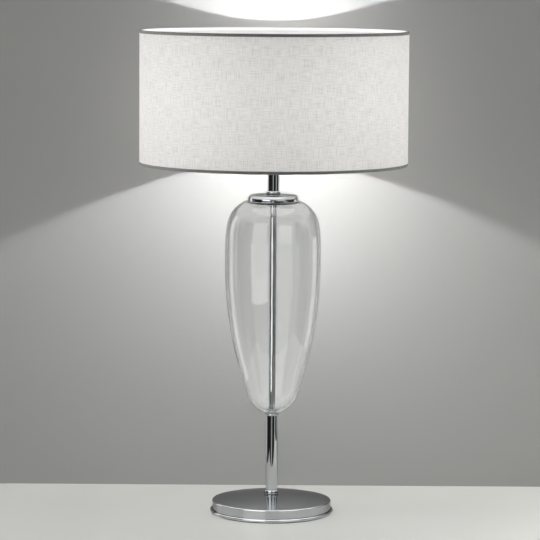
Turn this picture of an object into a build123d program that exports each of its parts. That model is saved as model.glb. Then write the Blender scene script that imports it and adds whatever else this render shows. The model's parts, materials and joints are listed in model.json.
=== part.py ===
from build123d import *
import math
import os

# Table lamp: a drum shade on a chrome stem that runs through a clear glass body to a domed round base.
# Millimetres, +Z up. The origin is the centre of the base on the surface that the lamp stands on, the
# lamp's axis is Z, the front is -Y, and the cord would leave at the rear, along +Y.

# Fits
slip = 0.05              # radial room of a screw, barrel or tube in the hole that holds it
rod_slip = 0.2           # radial room of the tie rod in the pieces that are stacked on it
thread_slip = 0.35       # radial room between two threads that are drawn as plain cylinders

# Base: felt pad, flanged plate, spun cover with a domed top, and an iron weight inside
felt_thickness = 1.2
felt_setback = 4.0
plate_radius = 92.6
plate_thickness = 5.0
plate_edge = 2.2
plate_flange = 3.4
cover_wall = 1.5
cover_side = 13.2
cover_edge = 2.0
cover_inner_edge = 0.5
dome_rise = 9.0
dome_land = 12.0
weight_room = 8.3
weight_height = 11.2
weight_web = 5.0
boss_radius = 11.0
boss_foot_radius = 40.0
cavity_radius = 30.0
cavity_roof_radius = 20.0
cavity_slope = 7.7

# Cord inlet in the rear wall of the cover, with the channel behind it
cord_bore = 2.8
grommet_wall = 0.9
grommet_lip = 0.6
grommet_lip_thickness = 1.2
grommet_seat_gap = 0.05
channel_side_room = 0.7

# Cord clamp and terminal block on the plate, inside the weight's cavity
clamp_width = 21.0
clamp_depth = 6.0
clamp_foot = 3.0
clamp_wall = 1.8
clamp_setback = 21.0
block_width = 16.0
block_depth = 10.0
block_height = 8.0
block_setback = 19.0
pole_spacing = 8.0
barrel_radius = 2.2
barrel_bore = 1.2
barrel_end_cover = 0.5

# Screws
plate_screw_radius = 2.5
plate_screw_head_radius = 4.5
plate_screw_head = 2.5
plate_screw_length = 10.0
plate_screw_circle = 62.0
plate_screw_count = 3
pan_screw_radius = 1.5
pan_screw_head_radius = 2.75
pan_screw_head = 2.0
pan_screw_length = 7.0
lock_screw_radius = 2.0
lock_screw_length = 7.0

# Tie rod with its nut and washer, and the stem pieces stacked on it
rod_radius = 5.0
rod_bore = 3.5
rod_tail = 1.0
nut_flats = 14.0
nut_height = 5.0
washer_radius = 10.0
washer_thickness = 1.5
stem_radius = 9.0
stem_wall = 1.0
base_collar_radius = 10.65
base_collar_height = 6.0
base_collar_floor = 1.5
base_collar_bead = 1.6
lower_stem_length = 117.9
seat_radius = 10.3
seat_height = 3.0
seat_bead = 1.2
seat_spigot = 8.0

# Glass body, open at a small hole in its foot and at a wide mouth under the cap
gasket_thickness = 0.8
gasket_edge = 0.4
glass_height = 318.8
glass_wall = 4.5
glass_foot = 10.5
glass_hole = 7.0
glass_mouth = 35.0
glass_land = 42.0
glass_belly_radius = 71.8
glass_belly_height = 227.0
# Radius and height above the foot of the points where the outline's arcs meet, from the belly down
glass_flank = [(64.0, 128.6), (51.0, 72.6), (39.0, 30.1), (26.3, 9.2)]
# Radius and drop below the top of the points where the outline's arcs meet, from the belly up
glass_shoulder = [(71.3, 58.2), (68.4, 32.2), (52.5, 6.5)]
bush_end = 1.0

# Chrome cap on the glass, with the disc that centres the mouth
cap_radius = 37.6
cap_height = 10.6
cap_wall = 1.5
cap_edge = 6.0
cap_inner_edge = 4.5
cap_fall = 2.0
cap_land = 11.5
cap_collar_radius = 10.6
cap_collar_height = 4.2
cap_collar_floor = 1.3
cap_collar_bead = 1.4
upper_stem_length = 33.1
locator_depth = 5.0
locator_flange = 2.5
locator_slip = 0.5

# Lampholder
holder_radius = 19.8
holder_wall = 2.2
holder_floor = 6.0
holder_cap_height = 20.0
holder_cap_edge = 5.0
insert_height = 10.0
insert_ledge = 1.0
strip_thickness = 0.8
strip_width = 5.0
terminal_offset = 10.0
live_barrel_short = 3.0
pocket_radius = 3.4
pocket_lip = 0.8
contact_radius = 2.2
contact_flange_radius = 3.0
contact_flange = 1.0
contact_flange_drop = 3.9
contact_proud = 1.0
contact_slip = 0.2
spring_wire = 0.35
spring_turns = 4
shell_wall = 0.4
shell_height = 23.0
shell_floor_hole = 8.0
sleeve_height = 37.0
sleeve_lip = 2.0
sleeve_lip_room = 0.7
flange_radius = 23.5
flange_thickness = 3.0
flange_rise = 14.0

# Bulb
bulb_radius = 30.0
bulb_length = 105.0
bulb_glass = 0.8
bulb_neck = 12.5
bulb_neck_foot = 16.0
bulb_neck_top = 26.0
bulb_join_angle = 30.0
bulb_cap_radius = 13.1
bulb_cap_wall = 0.5
bulb_cap_top = 24.0
bulb_cap_hole = 7.0
bulb_tip_radius = 4.6
bulb_tip_height = 1.2
insulator_radius = 10.0
insulator_height = 3.5
mount_foot = 18.0
mount_waist_height = 30.0
mount_waist_radius = 4.0
mount_top = 50.0
mount_slip = 0.2
filament_wire = 0.4
filament_lead = 1.5
filament_lead_straight = 4.0
filament_reach = 14.0
filament_rise = 22.0
filament_bend = 2.0

# Shade: lined fabric drum with a taped wire ring at each rim, on a welded carrier with three arms
shade_radius = 200.0
shade_height = 199.0
fabric_thickness = 0.6
liner_thickness = 0.4
tape_thickness = 0.4
tape_height = 4.4
tape_edge = 0.35
ring_wire = 1.5
ring_slip = 0.1
fitter_thickness = 2.0
fitter_radius = 29.0
fitter_slip = 0.4
carrier_drop = 28.2
arm_wire = 1.75
arm_inset = 2.0
arm_count = 3
arm_notch = 0.3
shade_nut_wall = 5.4
shade_nut_height = 6.0
shade_nut_flutes = 18
shade_nut_flute = 1.1

# Wires from the terminal block up the rod to the lampholder
wire_radius = 0.9
wire_offset = 1.9
wire_bend = 3.0
wire_fan = 4.0
wire_end = 4.0

# Heights, from the felt up to the bulb
plate_bottom = felt_thickness
plate_top = plate_bottom + plate_thickness
cover_rim = plate_top + cover_side
dome_top = cover_rim + dome_rise
boss_top = dome_top - cover_wall
cavity_roof = boss_top - weight_web
nut_top = cavity_roof - washer_thickness
rod_bottom = nut_top - nut_height - rod_tail
base_collar_top = dome_top + base_collar_height
lower_stem_bottom = dome_top + base_collar_floor
lower_stem_top = lower_stem_bottom + lower_stem_length
seat_top = lower_stem_top + seat_height
glass_bottom = seat_top + gasket_thickness
glass_top = glass_bottom + glass_height
cap_bottom = glass_top + gasket_thickness
cap_top = cap_bottom + cap_height
cap_collar_top = cap_top + cap_collar_height
upper_stem_bottom = cap_top + cap_collar_floor
holder_bottom = upper_stem_bottom + upper_stem_length
holder_cavity = holder_bottom + holder_floor
insert_bottom = holder_bottom + holder_cap_height
insert_top = insert_bottom + insert_height
sleeve_top = insert_bottom + sleeve_height
flange_top = insert_bottom + flange_rise + flange_thickness
fitter_top = flange_top + fitter_thickness
bulb_tip = insert_top + contact_proud
shade_bottom = flange_top - carrier_drop
shade_top = shade_bottom + shade_height

# Radii and places that follow from the sizes above
cover_radius = plate_radius - plate_flange
weight_radius = cover_radius - weight_room
rod_hole = rod_radius + rod_slip
stem_bore = stem_radius - stem_wall
grommet_radius = cord_bore + grommet_wall
grommet_lip_radius = grommet_radius + grommet_lip
inlet_height = (plate_top + cover_rim - cover_edge) / 2
pole_height = plate_top + block_height / 2
holder_bore = holder_radius - holder_wall
insert_radius = holder_bore - slip
shell_bore = bulb_cap_radius + thread_slip
fabric_radius = shade_radius - tape_thickness
liner_radius = fabric_radius - fabric_thickness
ring_seat = liner_radius - liner_thickness
ring_radius = ring_seat - ring_wire - ring_slip
ring_height = shade_bottom + tape_thickness + ring_slip + ring_wire
tape_inner = ring_radius - ring_wire - ring_slip - tape_thickness

ON_FLOOR = (Align.CENTER, Align.CENTER, Align.MIN)


def disc(radius, bottom, top):
    """Round solid on the lamp's axis between two heights."""
    return Pos(0, 0, bottom) * Cylinder(radius, top - bottom, align=ON_FLOOR)


def tube(inner, outer, bottom, top):
    """Ring or tube on the lamp's axis between two heights."""
    return disc(outer, bottom, top) - disc(inner, bottom, top)


def turned(section_edges, rounds=()):
    """Solid turned about the lamp's axis from its half section; rounds are corners with a radius each."""
    section = make_face(section_edges)
    for corner, radius in rounds:
        section = fillet(section.vertices().sort_by_distance(corner)[0], radius)
    return revolve(Plane.XZ * section, Axis.Z)


def rod_between(start, end, radius):
    """Straight round rod from one point to another."""
    path = Vector(*end) - Vector(*start)
    return Plane(origin=start, z_dir=path) * Cylinder(radius, path.length, align=ON_FLOOR)


def wire_along(points, radii, radius):
    """Round wire along straight runs that are joined by arcs."""
    path = FilletPolyline(*points, radius=radii)
    section = Plane(origin=path @ 0, z_dir=path % 0) * Circle(radius)
    return sweep(section, path=path)


def barrel(radius, bore, length):
    """Screw terminal's brass barrel, standing on the origin."""
    return Cylinder(radius, length, align=ON_FLOOR) - Cylinder(bore, length, align=ON_FLOOR)


def polar(radius, count, first_angle):
    """Places spread evenly on a circle about the lamp's axis."""
    return PolarLocations(radius, count, start_angle=first_angle)


# Base


def plate_screw_places():
    """The plate's screws stand clear of the cord channel at the rear."""
    return polar(plate_screw_circle, plate_screw_count, -90)


def plate_screw():
    """Countersunk screw with its head at the origin and its shank upwards."""
    head = Cone(plate_screw_head_radius, plate_screw_radius, plate_screw_head, align=ON_FLOOR)
    return head + Cylinder(plate_screw_radius, plate_screw_length, align=ON_FLOOR)


def plate_screw_hole():
    """Room for one plate screw, in the plate and in the weight."""
    head = Cone(plate_screw_head_radius + slip, plate_screw_radius + slip, plate_screw_head, align=ON_FLOOR)
    return head + Cylinder(plate_screw_radius + slip, plate_screw_length + slip, align=ON_FLOOR)


def plate_screws():
    return Compound([place * Pos(0, 0, plate_bottom) * plate_screw() for place in plate_screw_places()])


def plate_screw_holes():
    return [place * Pos(0, 0, plate_bottom) * plate_screw_hole() for place in plate_screw_places()]


def pan_screw_places():
    """Two screws hold the cord clamp and one holds the terminal block."""
    clamp_screw_offset = clamp_width / 2 - pan_screw_head_radius
    clamp_seat = plate_top + clamp_foot
    block_seat = plate_top + block_height
    return [
        Pos(-clamp_screw_offset, clamp_setback, clamp_seat),
        Pos(clamp_screw_offset, clamp_setback, clamp_seat),
        Pos(0, -block_setback, block_seat),
    ]


def pan_screw(seat_height):
    """Pan-head screw with its head on the origin, long enough to hold in the plate."""
    head = Cylinder(pan_screw_head_radius, pan_screw_head, align=ON_FLOOR)
    head = fillet(head.faces().sort_by(Axis.Z)[-1].edges(), pan_screw_head / 2 - slip)
    length = seat_height - plate_top + pan_screw_length - clamp_foot
    return head + Pos(0, 0, -length) * Cylinder(pan_screw_radius, length, align=ON_FLOOR)


def pan_screw_hole():
    """Room for a pan-head screw's shank through a piece and into the plate."""
    bottom = plate_top - (pan_screw_length - clamp_foot) - slip
    return Pos(0, 0, bottom) * Cylinder(pan_screw_radius + slip, cover_rim, align=ON_FLOOR)


def pan_screws():
    return Compound([place * pan_screw(place.position.Z) for place in pan_screw_places()])


def pan_screw_holes():
    return [Pos(place.position.X, place.position.Y, 0) * pan_screw_hole() for place in pan_screw_places()]


def base_felt():
    return disc(plate_radius - felt_setback, 0, felt_thickness)


def base_plate():
    """Steel plate whose rounded rim shows as a flange under the cover."""
    corners = [(0, plate_bottom), (plate_radius, plate_bottom), (plate_radius, plate_top), (0, plate_top)]
    rounds = [(corners[1], plate_edge), (corners[2], plate_edge)]
    plate = turned(Polyline(*corners, close=True), rounds)
    return plate - plate_screw_holes() - pan_screw_holes()


def domed_solid(radius, rim, top, edge):
    """Solid with an upright side, a rounded rim and a domed top with a flat land at its centre."""
    section = [
        Line((0, plate_top), (radius, plate_top)),
        Line((radius, plate_top), (radius, rim)),
        TangentArc((dome_land, top), (radius, rim), tangent=(1, 0)),
        Line((dome_land, top), (0, top)),
        Line((0, top), (0, plate_top)),
    ]
    return turned(section, [((radius, rim), edge)])


def base_cover():
    """Spun cover with a hole for the rod and one in the rear wall for the cord's grommet."""
    outside = domed_solid(cover_radius, cover_rim, dome_top, cover_edge)
    inside = domed_solid(cover_radius - cover_wall, cover_rim - cover_wall, boss_top, cover_inner_edge)
    hole_start = (0, weight_radius, inlet_height)
    hole_end = (0, cover_radius + grommet_lip_thickness, inlet_height)
    rear_hole = rod_between(hole_start, hole_end, grommet_radius)
    return outside - inside - disc(rod_hole, plate_top, dome_top) - rear_hole


def base_weight():
    """Iron casting: a heavy rim, a boss that carries the dome, and a cavity for the nut and wiring."""
    weight_top = plate_top + weight_height
    corners = [
        (weight_radius, plate_top),
        (weight_radius, weight_top),
        (boss_foot_radius, weight_top),
        (boss_radius, boss_top),
        (rod_hole, boss_top),
        (rod_hole, cavity_roof),
        (cavity_roof_radius, cavity_roof),
        (cavity_radius, cavity_roof - cavity_slope),
        (cavity_radius, plate_top),
    ]
    casting = turned(Polyline(*corners, close=True))
    channel_width = 2 * (grommet_radius + channel_side_room)
    channel_height = inlet_height + grommet_radius - plate_top
    channel_align = (Align.CENTER, Align.MIN, Align.MIN)
    channel = Box(channel_width, cover_radius, channel_height, align=channel_align)
    return casting - Pos(0, 0, plate_top) * channel - plate_screw_holes()


def cord_grommet():
    """Rubber grommet in the cover's rear wall: a bush with a lip on each side of the wall."""
    outer_seat = cover_radius
    inner_seat = math.sqrt((cover_radius - cover_wall) ** 2 - grommet_lip_radius ** 2) - grommet_seat_gap
    inner_end = inner_seat - grommet_lip_thickness
    outer_end = outer_seat + grommet_lip_thickness
    body = rod_between((0, inner_end, inlet_height), (0, outer_end, inlet_height), grommet_radius)
    for lip_start, lip_end in ((inner_end, inner_seat), (outer_seat, outer_end)):
        body += rod_between((0, lip_start, inlet_height), (0, lip_end, inlet_height), grommet_lip_radius)
    return body - rod_between((0, inner_end, inlet_height), (0, outer_end, inlet_height), cord_bore)


def cord_clamp():
    """Saddle that grips the cord against the plate, in line with the inlet."""
    hump_radius = cord_bore + clamp_wall
    hump_height = inlet_height - plate_top
    foot = Rectangle(clamp_width, clamp_foot, align=(Align.CENTER, Align.MIN))
    wall = Rectangle(2 * hump_radius, hump_height, align=(Align.CENTER, Align.MIN))
    tunnel = Rectangle(2 * cord_bore, hump_height, align=(Align.CENTER, Align.MIN))
    crown = Pos(0, hump_height) * Circle(hump_radius)
    bore = Pos(0, hump_height) * Circle(cord_bore)
    below = Rectangle(clamp_width, hump_radius, align=(Align.CENTER, Align.MAX))
    profile = foot + wall + crown - tunnel - bore - below
    placed = Plane(origin=(0, clamp_setback, plate_top), x_dir=(1, 0, 0), z_dir=(0, -1, 0)) * profile
    return extrude(placed, clamp_depth / 2, both=True) - pan_screw_holes()


def terminal_block():
    """Two-pole terminal block on the plate, with its poles along Y."""
    block = Box(block_width, block_depth, block_height, align=ON_FLOOR)
    block = fillet(block.edges().filter_by(Axis.Z), barrel_end_cover)
    block = Pos(0, -block_setback, plate_top) * block
    for side in (-1, 1):
        start = (side * pole_spacing / 2, -block_setback - block_depth / 2, pole_height)
        end = (side * pole_spacing / 2, -block_setback + block_depth / 2, pole_height)
        block -= rod_between(start, end, barrel_radius + slip)
    return block - pan_screw_holes()


def terminal_barrels():
    length = block_depth - 2 * barrel_end_cover
    lying = Rot(90, 0, 0) * Pos(0, 0, -length / 2) * barrel(barrel_radius, barrel_bore, length)
    places = [Pos(side * pole_spacing / 2, -block_setback, pole_height) for side in (-1, 1)]
    return Compound([place * lying for place in places])


def base_washer():
    return tube(rod_hole, washer_radius, nut_top, cavity_roof)


def base_nut():
    hexagon = RegularPolygon(nut_flats / 2, 6, major_radius=False)
    nut = extrude(Pos(0, 0, nut_top - nut_height) * hexagon, nut_height)
    return nut - disc(rod_radius + slip, nut_top - nut_height, nut_top)


# Stem


def tie_rod():
    """Threaded tube that clamps the whole stack, from the nut in the base to the lampholder."""
    return tube(rod_bore, rod_radius, rod_bottom, holder_cavity)


def stem_collar(radius, bottom, top, floor, bead):
    """Turned ring with a rounded side and a socket for the end of a stem tube."""
    socket = stem_radius + slip
    corners = [
        (rod_hole, bottom),
        (radius, bottom),
        (radius, top),
        (socket, top),
        (socket, bottom + floor),
        (rod_hole, bottom + floor),
    ]
    rounds = [(corners[2], min(bead, radius - socket - slip)), (corners[1], bead / 2)]
    return turned(Polyline(*corners, close=True), rounds)


def base_collar():
    return stem_collar(base_collar_radius, dome_top, base_collar_top, base_collar_floor, base_collar_bead)


def cap_collar():
    return stem_collar(cap_collar_radius, cap_top, cap_collar_top, cap_collar_floor, cap_collar_bead)


def lower_stem():
    return tube(stem_bore, stem_radius, lower_stem_bottom, lower_stem_top)


def upper_stem():
    return tube(stem_bore, stem_radius, upper_stem_bottom, holder_bottom)


def glass_seat():
    """Turned seat under the glass, with a spigot in the lower stem."""
    spigot = stem_bore - slip
    corners = [
        (rod_hole, lower_stem_top - seat_spigot),
        (spigot, lower_stem_top - seat_spigot),
        (spigot, lower_stem_top),
        (seat_radius, lower_stem_top),
        (seat_radius, seat_top),
        (rod_hole, seat_top),
    ]
    return turned(Polyline(*corners, close=True), [(corners[3], seat_bead), (corners[4], seat_bead)])


# Glass and cap


def arc_chain(start, tangent, points):
    """Arcs through the points, each one tangent to the one before it."""
    arcs = []
    for point in points:
        arc = TangentArc(start, point, tangent=tangent)
        arcs.append(arc)
        start = arc @ 1
        tangent = arc % 1
    return arcs


def glass_outline():
    """Half outline of the glass: arcs from the belly down to the foot and up to the top land."""
    belly = (glass_belly_radius, glass_bottom + glass_belly_height)
    below = [(radius, glass_bottom + rise) for radius, rise in glass_flank]
    above = [(radius, glass_top - drop) for radius, drop in glass_shoulder]
    flank = arc_chain(belly, (0, -1), below + [(glass_foot, glass_bottom)])
    shoulder = arc_chain(belly, (0, 1), above + [(glass_land, glass_top)])
    return Wire(flank + shoulder)


def glass_body():
    """Blown glass of even wall, with a hole in its foot for the rod and a wide mouth at the top."""
    outside = glass_outline()
    both_sides = [outside.offset_2d(glass_wall, side=side, closed=False) for side in (Side.LEFT, Side.RIGHT)]
    inside = min(both_sides, key=lambda wire: wire.bounding_box().max.X)
    foot_inside = inside.vertices().sort_by(Axis.Y)[0]
    top_inside = inside.vertices().sort_by(Axis.Y)[-1]
    foot = [(glass_foot, glass_bottom), (glass_hole, glass_bottom), (glass_hole, foot_inside.Y), foot_inside]
    mouth = [(glass_land, glass_top), (glass_mouth, glass_top), (glass_mouth, top_inside.Y), top_inside]
    return turned([outside, inside, Polyline(*foot), Polyline(*mouth)])


def lower_gasket():
    """Silicone washer under the foot of the glass, with a bush that keeps the rod off the glass."""
    flange = tube(rod_hole, seat_radius - seat_bead, seat_top, glass_bottom)
    bush = tube(rod_hole, glass_hole - rod_slip, glass_bottom, glass_bottom + glass_wall + bush_end)
    return flange + bush


def upper_gasket():
    inner = glass_mouth - locator_slip + slip
    return tube(inner, cap_radius - gasket_edge, glass_top, cap_bottom)


def glass_locator():
    """Disc inside the cap whose spigot centres the mouth of the glass."""
    flange = disc(cap_radius - cap_wall - slip, cap_bottom, cap_bottom + locator_flange)
    spigot = disc(glass_mouth - locator_slip, glass_top - locator_depth, cap_bottom)
    return flange + spigot - disc(rod_hole, glass_top - locator_depth, cap_bottom + locator_flange)


def top_cap():
    """Spun chrome cap: a shallow dished lid with a rounded edge."""
    shoulder = cap_top - cap_fall
    inner_radius = cap_radius - cap_wall
    corners = [
        (rod_hole, cap_top),
        (cap_land, cap_top),
        (cap_radius, shoulder),
        (cap_radius, cap_bottom),
        (inner_radius, cap_bottom),
        (inner_radius, shoulder - cap_wall),
        (cap_land, cap_top - cap_wall),
        (rod_hole, cap_top - cap_wall),
    ]
    return turned(Polyline(*corners, close=True), [(corners[2], cap_edge), (corners[5], cap_inner_edge)])


# Lampholder


def lock_screw_axis(inner, outer):
    """Two points of the locking screw's axis, at the front of the lampholder's floor."""
    height = holder_bottom + holder_floor / 2
    return (0, -outer, height), (0, -inner, height)


def holder_cap():
    """Lower half of the lampholder: a cup with a thick floor that is screwed on the rod."""
    cavity = holder_bore - insert_ledge
    corners = [
        (rod_radius + slip, holder_bottom),
        (holder_radius, holder_bottom),
        (holder_radius, insert_bottom),
        (cavity, insert_bottom),
        (cavity, holder_cavity),
        (rod_radius + slip, holder_cavity),
    ]
    cup = turned(Polyline(*corners, close=True), [(corners[1], holder_cap_edge)])
    return cup - rod_between(*lock_screw_axis(rod_radius, holder_radius), lock_screw_radius + slip)


def holder_lock_screw():
    """Grub screw that bears on the rod through the floor of the lampholder."""
    start = rod_radius + slip
    return rod_between(*lock_screw_axis(start, start + lock_screw_length), lock_screw_radius)


def terminal_places():
    """The live terminal is on +X and the neutral one on -X."""
    return Pos(terminal_offset, 0, insert_bottom), Pos(-terminal_offset, 0, insert_bottom)


def holder_insert():
    """Ceramic disc that carries the contacts, with a stepped hole for the sprung centre contact."""
    insert = disc(insert_radius, insert_bottom, insert_top)
    insert -= disc(pocket_radius, insert_bottom, insert_top - pocket_lip)
    insert -= disc(contact_radius + contact_slip, insert_bottom, insert_top)
    live, neutral = terminal_places()
    insert -= live * Cylinder(barrel_radius + slip, insert_height - live_barrel_short, align=ON_FLOOR)
    return insert - neutral * Cylinder(barrel_radius + slip, insert_height, align=ON_FLOOR)


def holder_barrels():
    """Brass barrels: the neutral one reaches the screw shell and the live one stops short of it."""
    live, neutral = terminal_places()
    live_barrel = live * barrel(barrel_radius, barrel_bore, insert_height - live_barrel_short)
    return Compound([live_barrel, neutral * barrel(barrel_radius, barrel_bore, insert_height)])


def live_strip():
    """Brass strip from the live barrel to the spring of the centre contact."""
    start = -pocket_radius
    end = terminal_offset + barrel_radius
    strip = Pos(start, 0, insert_bottom - strip_thickness) * Box(
        end - start, strip_width, strip_thickness, align=(Align.MIN, Align.CENTER, Align.MIN)
    )
    wire_way = Pos(terminal_offset, 0, insert_bottom - strip_thickness)
    return strip - wire_way * Cylinder(barrel_bore, strip_thickness, align=ON_FLOOR)


def centre_contact():
    """Sprung pin under the bulb's tip, held in the insert by its flange."""
    flange_bottom = insert_top - contact_flange_drop
    flange = disc(contact_flange_radius, flange_bottom, flange_bottom + contact_flange)
    return flange + disc(contact_radius, flange_bottom, bulb_tip)


def contact_spring():
    """Coil spring between the live strip and the centre contact."""
    bottom = insert_bottom + spring_wire
    height = insert_top - contact_flange_drop - spring_wire - bottom
    path = Helix(height / spring_turns, height, contact_flange_radius - spring_wire)
    section = Plane(origin=path @ 0, z_dir=path % 0) * Circle(spring_wire)
    return Pos(0, 0, bottom) * sweep(section, path=path, is_frenet=True)


def screw_shell():
    """Sheet cup that takes the bulb's thread, drawn as a plain cylinder."""
    cup = tube(shell_bore, shell_bore + shell_wall, insert_top, insert_top + shell_height)
    return cup + tube(shell_floor_hole, shell_bore, insert_top, insert_top + shell_wall)


def holder_sleeve():
    """Upper half of the lampholder: a sleeve with a flange that carries the shade."""
    lip_bore = shell_bore + shell_wall + sleeve_lip_room
    flange_bottom = flange_top - flange_thickness
    corners = [
        (holder_bore, insert_bottom),
        (holder_radius, insert_bottom),
        (holder_radius, flange_bottom),
        (flange_radius, flange_bottom),
        (flange_radius, flange_top),
        (holder_radius, flange_top),
        (holder_radius, sleeve_top),
        (lip_bore, sleeve_top),
        (lip_bore, sleeve_top - sleeve_lip),
        (holder_bore, sleeve_top - sleeve_lip),
    ]
    return turned(Polyline(*corners, close=True))


# Wires


def wire_route(side):
    """From the block, along the plate, up the rod and out to a terminal of the lampholder."""
    pole = side * pole_spacing / 2
    inside = side * wire_offset
    terminal = side * terminal_offset
    fan_bottom = holder_cavity + wire_fan
    fan_top = insert_bottom - strip_thickness - wire_fan
    points = [
        (pole, -block_setback + block_depth / 2 - wire_end, pole_height),
        (pole, -block_setback + block_depth / 2 + wire_end, pole_height),
        (inside, 0, pole_height),
        (inside, 0, fan_bottom),
        (terminal, 0, fan_top),
        (terminal, 0, insert_bottom + wire_end),
    ]
    return wire_along(points, [wire_bend] * (len(points) - 2), wire_radius)


def wire_live():
    return wire_route(1)


def wire_neutral():
    return wire_route(-1)


# Bulb


def bubble(inset, foot):
    """Solid inside the bulb's outline, moved inwards by the inset: neck, flare and round head."""
    head = bulb_radius - inset
    neck = bulb_neck - inset
    centre = bulb_tip + bulb_length - bulb_radius
    angle = math.radians(bulb_join_angle)
    join = (head * math.cos(angle), centre - head * math.sin(angle))
    neck_top = (neck, bulb_tip + bulb_neck_top)
    top = (0, centre + head)
    section = [
        Line((0, foot), (neck, foot)),
        Line((neck, foot), neck_top),
        Spline(neck_top, join, tangents=[(0, 1), (math.sin(angle), math.cos(angle))]),
        ThreePointArc(join, (head, centre), (0, centre + head)),
        Line(top, (0, foot)),
    ]
    return turned(section)


def bulb_envelope():
    """Frosted glass of the bulb, open at the neck."""
    foot = bulb_tip + bulb_neck_foot
    return bubble(0, foot) - bubble(bulb_glass, foot - bulb_glass)


def bulb_cap():
    """Screw cap of the bulb, with its thread drawn as a plain cylinder."""
    bottom = bulb_tip + bulb_tip_height + insulator_height
    inner = bulb_cap_radius - bulb_cap_wall
    side = tube(inner, bulb_cap_radius, bottom, bulb_tip + bulb_cap_top)
    return side + tube(bulb_cap_hole, inner, bottom, bottom + bulb_cap_wall)


def bulb_insulator():
    bottom = bulb_tip + bulb_tip_height
    return Pos(0, 0, bottom) * Cone(bulb_tip_radius, insulator_radius, insulator_height, align=ON_FLOOR)


def bulb_tip_contact():
    return disc(bulb_tip_radius, bulb_tip, bulb_tip + bulb_tip_height)


def bulb_mount():
    """Glass stem that carries the filament's leads, flared to the neck at its foot."""
    flare = bulb_neck - bulb_glass - mount_slip
    corners = [
        (0, bulb_tip + mount_foot),
        (flare, bulb_tip + mount_foot),
        (mount_waist_radius, bulb_tip + mount_waist_height),
        (mount_waist_radius, bulb_tip + mount_top),
        (0, bulb_tip + mount_top),
    ]
    return turned(Polyline(*corners, close=True))


def bulb_filament():
    """Filament and its two leads, standing on the glass mount."""
    foot = bulb_tip + mount_top
    elbow = foot + filament_lead_straight
    top = foot + filament_rise
    points = [
        (-filament_lead, 0, foot),
        (-filament_lead, 0, elbow),
        (-filament_reach, 0, top),
        (filament_reach, 0, top),
        (filament_lead, 0, elbow),
        (filament_lead, 0, foot),
    ]
    return wire_along(points, [filament_bend] * (len(points) - 2), filament_wire)


# Shade


def arm_rods(radius):
    """Three sloping rods from the fitter ring out to the lower wire ring."""
    start = Vector(fitter_radius - arm_inset, 0, (flange_top + fitter_top) / 2)
    end = Vector(ring_radius, 0, ring_height)
    return [place * rod_between(start, end, radius) for place in polar(0, arm_count, 90)]


def wire_ring(height):
    return Pos(0, 0, height) * Torus(ring_radius, ring_wire)


def bottom_ring():
    return wire_ring(ring_height)


def top_ring():
    return wire_ring(shade_bottom + shade_top - ring_height)


def shade_carrier():
    """Flat ring on the lampholder's flange, with three arms welded to the lower wire ring."""
    fitter = tube(holder_radius + fitter_slip, fitter_radius, flange_top, fitter_top)
    return fitter + arm_rods(arm_wire) - bottom_ring()


def rim_tape(edge, into_shade):
    """Tape folded round a rim of the shade and its wire ring; into_shade is the sign of the inner side."""
    fold = edge + into_shade * tape_thickness
    tail = edge + into_shade * tape_height
    corners = [
        (shade_radius, tail),
        (shade_radius, edge),
        (tape_inner, edge),
        (tape_inner, tail),
        (tape_inner + tape_thickness, tail),
        (tape_inner + tape_thickness, fold),
        (fabric_radius, fold),
        (fabric_radius, tail),
    ]
    return turned(Polyline(*corners, close=True), [(corners[1], tape_edge), (corners[2], tape_edge)])


def bottom_tape():
    return rim_tape(shade_bottom, 1) - arm_rods(arm_wire + arm_notch)


def top_tape():
    return rim_tape(shade_top, -1)


def shade_fabric():
    return tube(liner_radius, fabric_radius, shade_bottom + tape_thickness, shade_top - tape_thickness)


def shade_liner():
    return tube(ring_seat, liner_radius, shade_bottom + tape_thickness, shade_top - tape_thickness)


def shade_nut():
    """Ring nut that clamps the fitter ring on the lampholder, fluted for the fingers."""
    bore = holder_radius + thread_slip
    outer = bore + shade_nut_wall
    nut = tube(bore, outer, fitter_top, fitter_top + shade_nut_height)
    flute = disc(shade_nut_flute, fitter_top, fitter_top + shade_nut_height)
    return nut - [place * flute for place in polar(outer, shade_nut_flutes, 0)]


sub_parts = [
    base_felt,
    base_plate,
    base_cover,
    base_weight,
    plate_screws,
    cord_grommet,
    cord_clamp,
    terminal_block,
    terminal_barrels,
    pan_screws,
    base_washer,
    base_nut,
    tie_rod,
    base_collar,
    lower_stem,
    glass_seat,
    lower_gasket,
    glass_body,
    upper_gasket,
    glass_locator,
    top_cap,
    cap_collar,
    upper_stem,
    holder_cap,
    holder_lock_screw,
    holder_insert,
    holder_barrels,
    live_strip,
    centre_contact,
    contact_spring,
    screw_shell,
    holder_sleeve,
    wire_live,
    wire_neutral,
    bulb_envelope,
    bulb_cap,
    bulb_insulator,
    bulb_tip_contact,
    bulb_mount,
    bulb_filament,
    shade_carrier,
    bottom_ring,
    top_ring,
    bottom_tape,
    top_tape,
    shade_fabric,
    shade_liner,
    shade_nut,
]

os.makedirs("parts", exist_ok=True)
for sub_part in sub_parts:
    export_step(sub_part(), f"parts/{sub_part.__name__}.step")
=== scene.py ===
import json
import math

import bmesh
import bpy
from mathutils import Matrix, Vector

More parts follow.
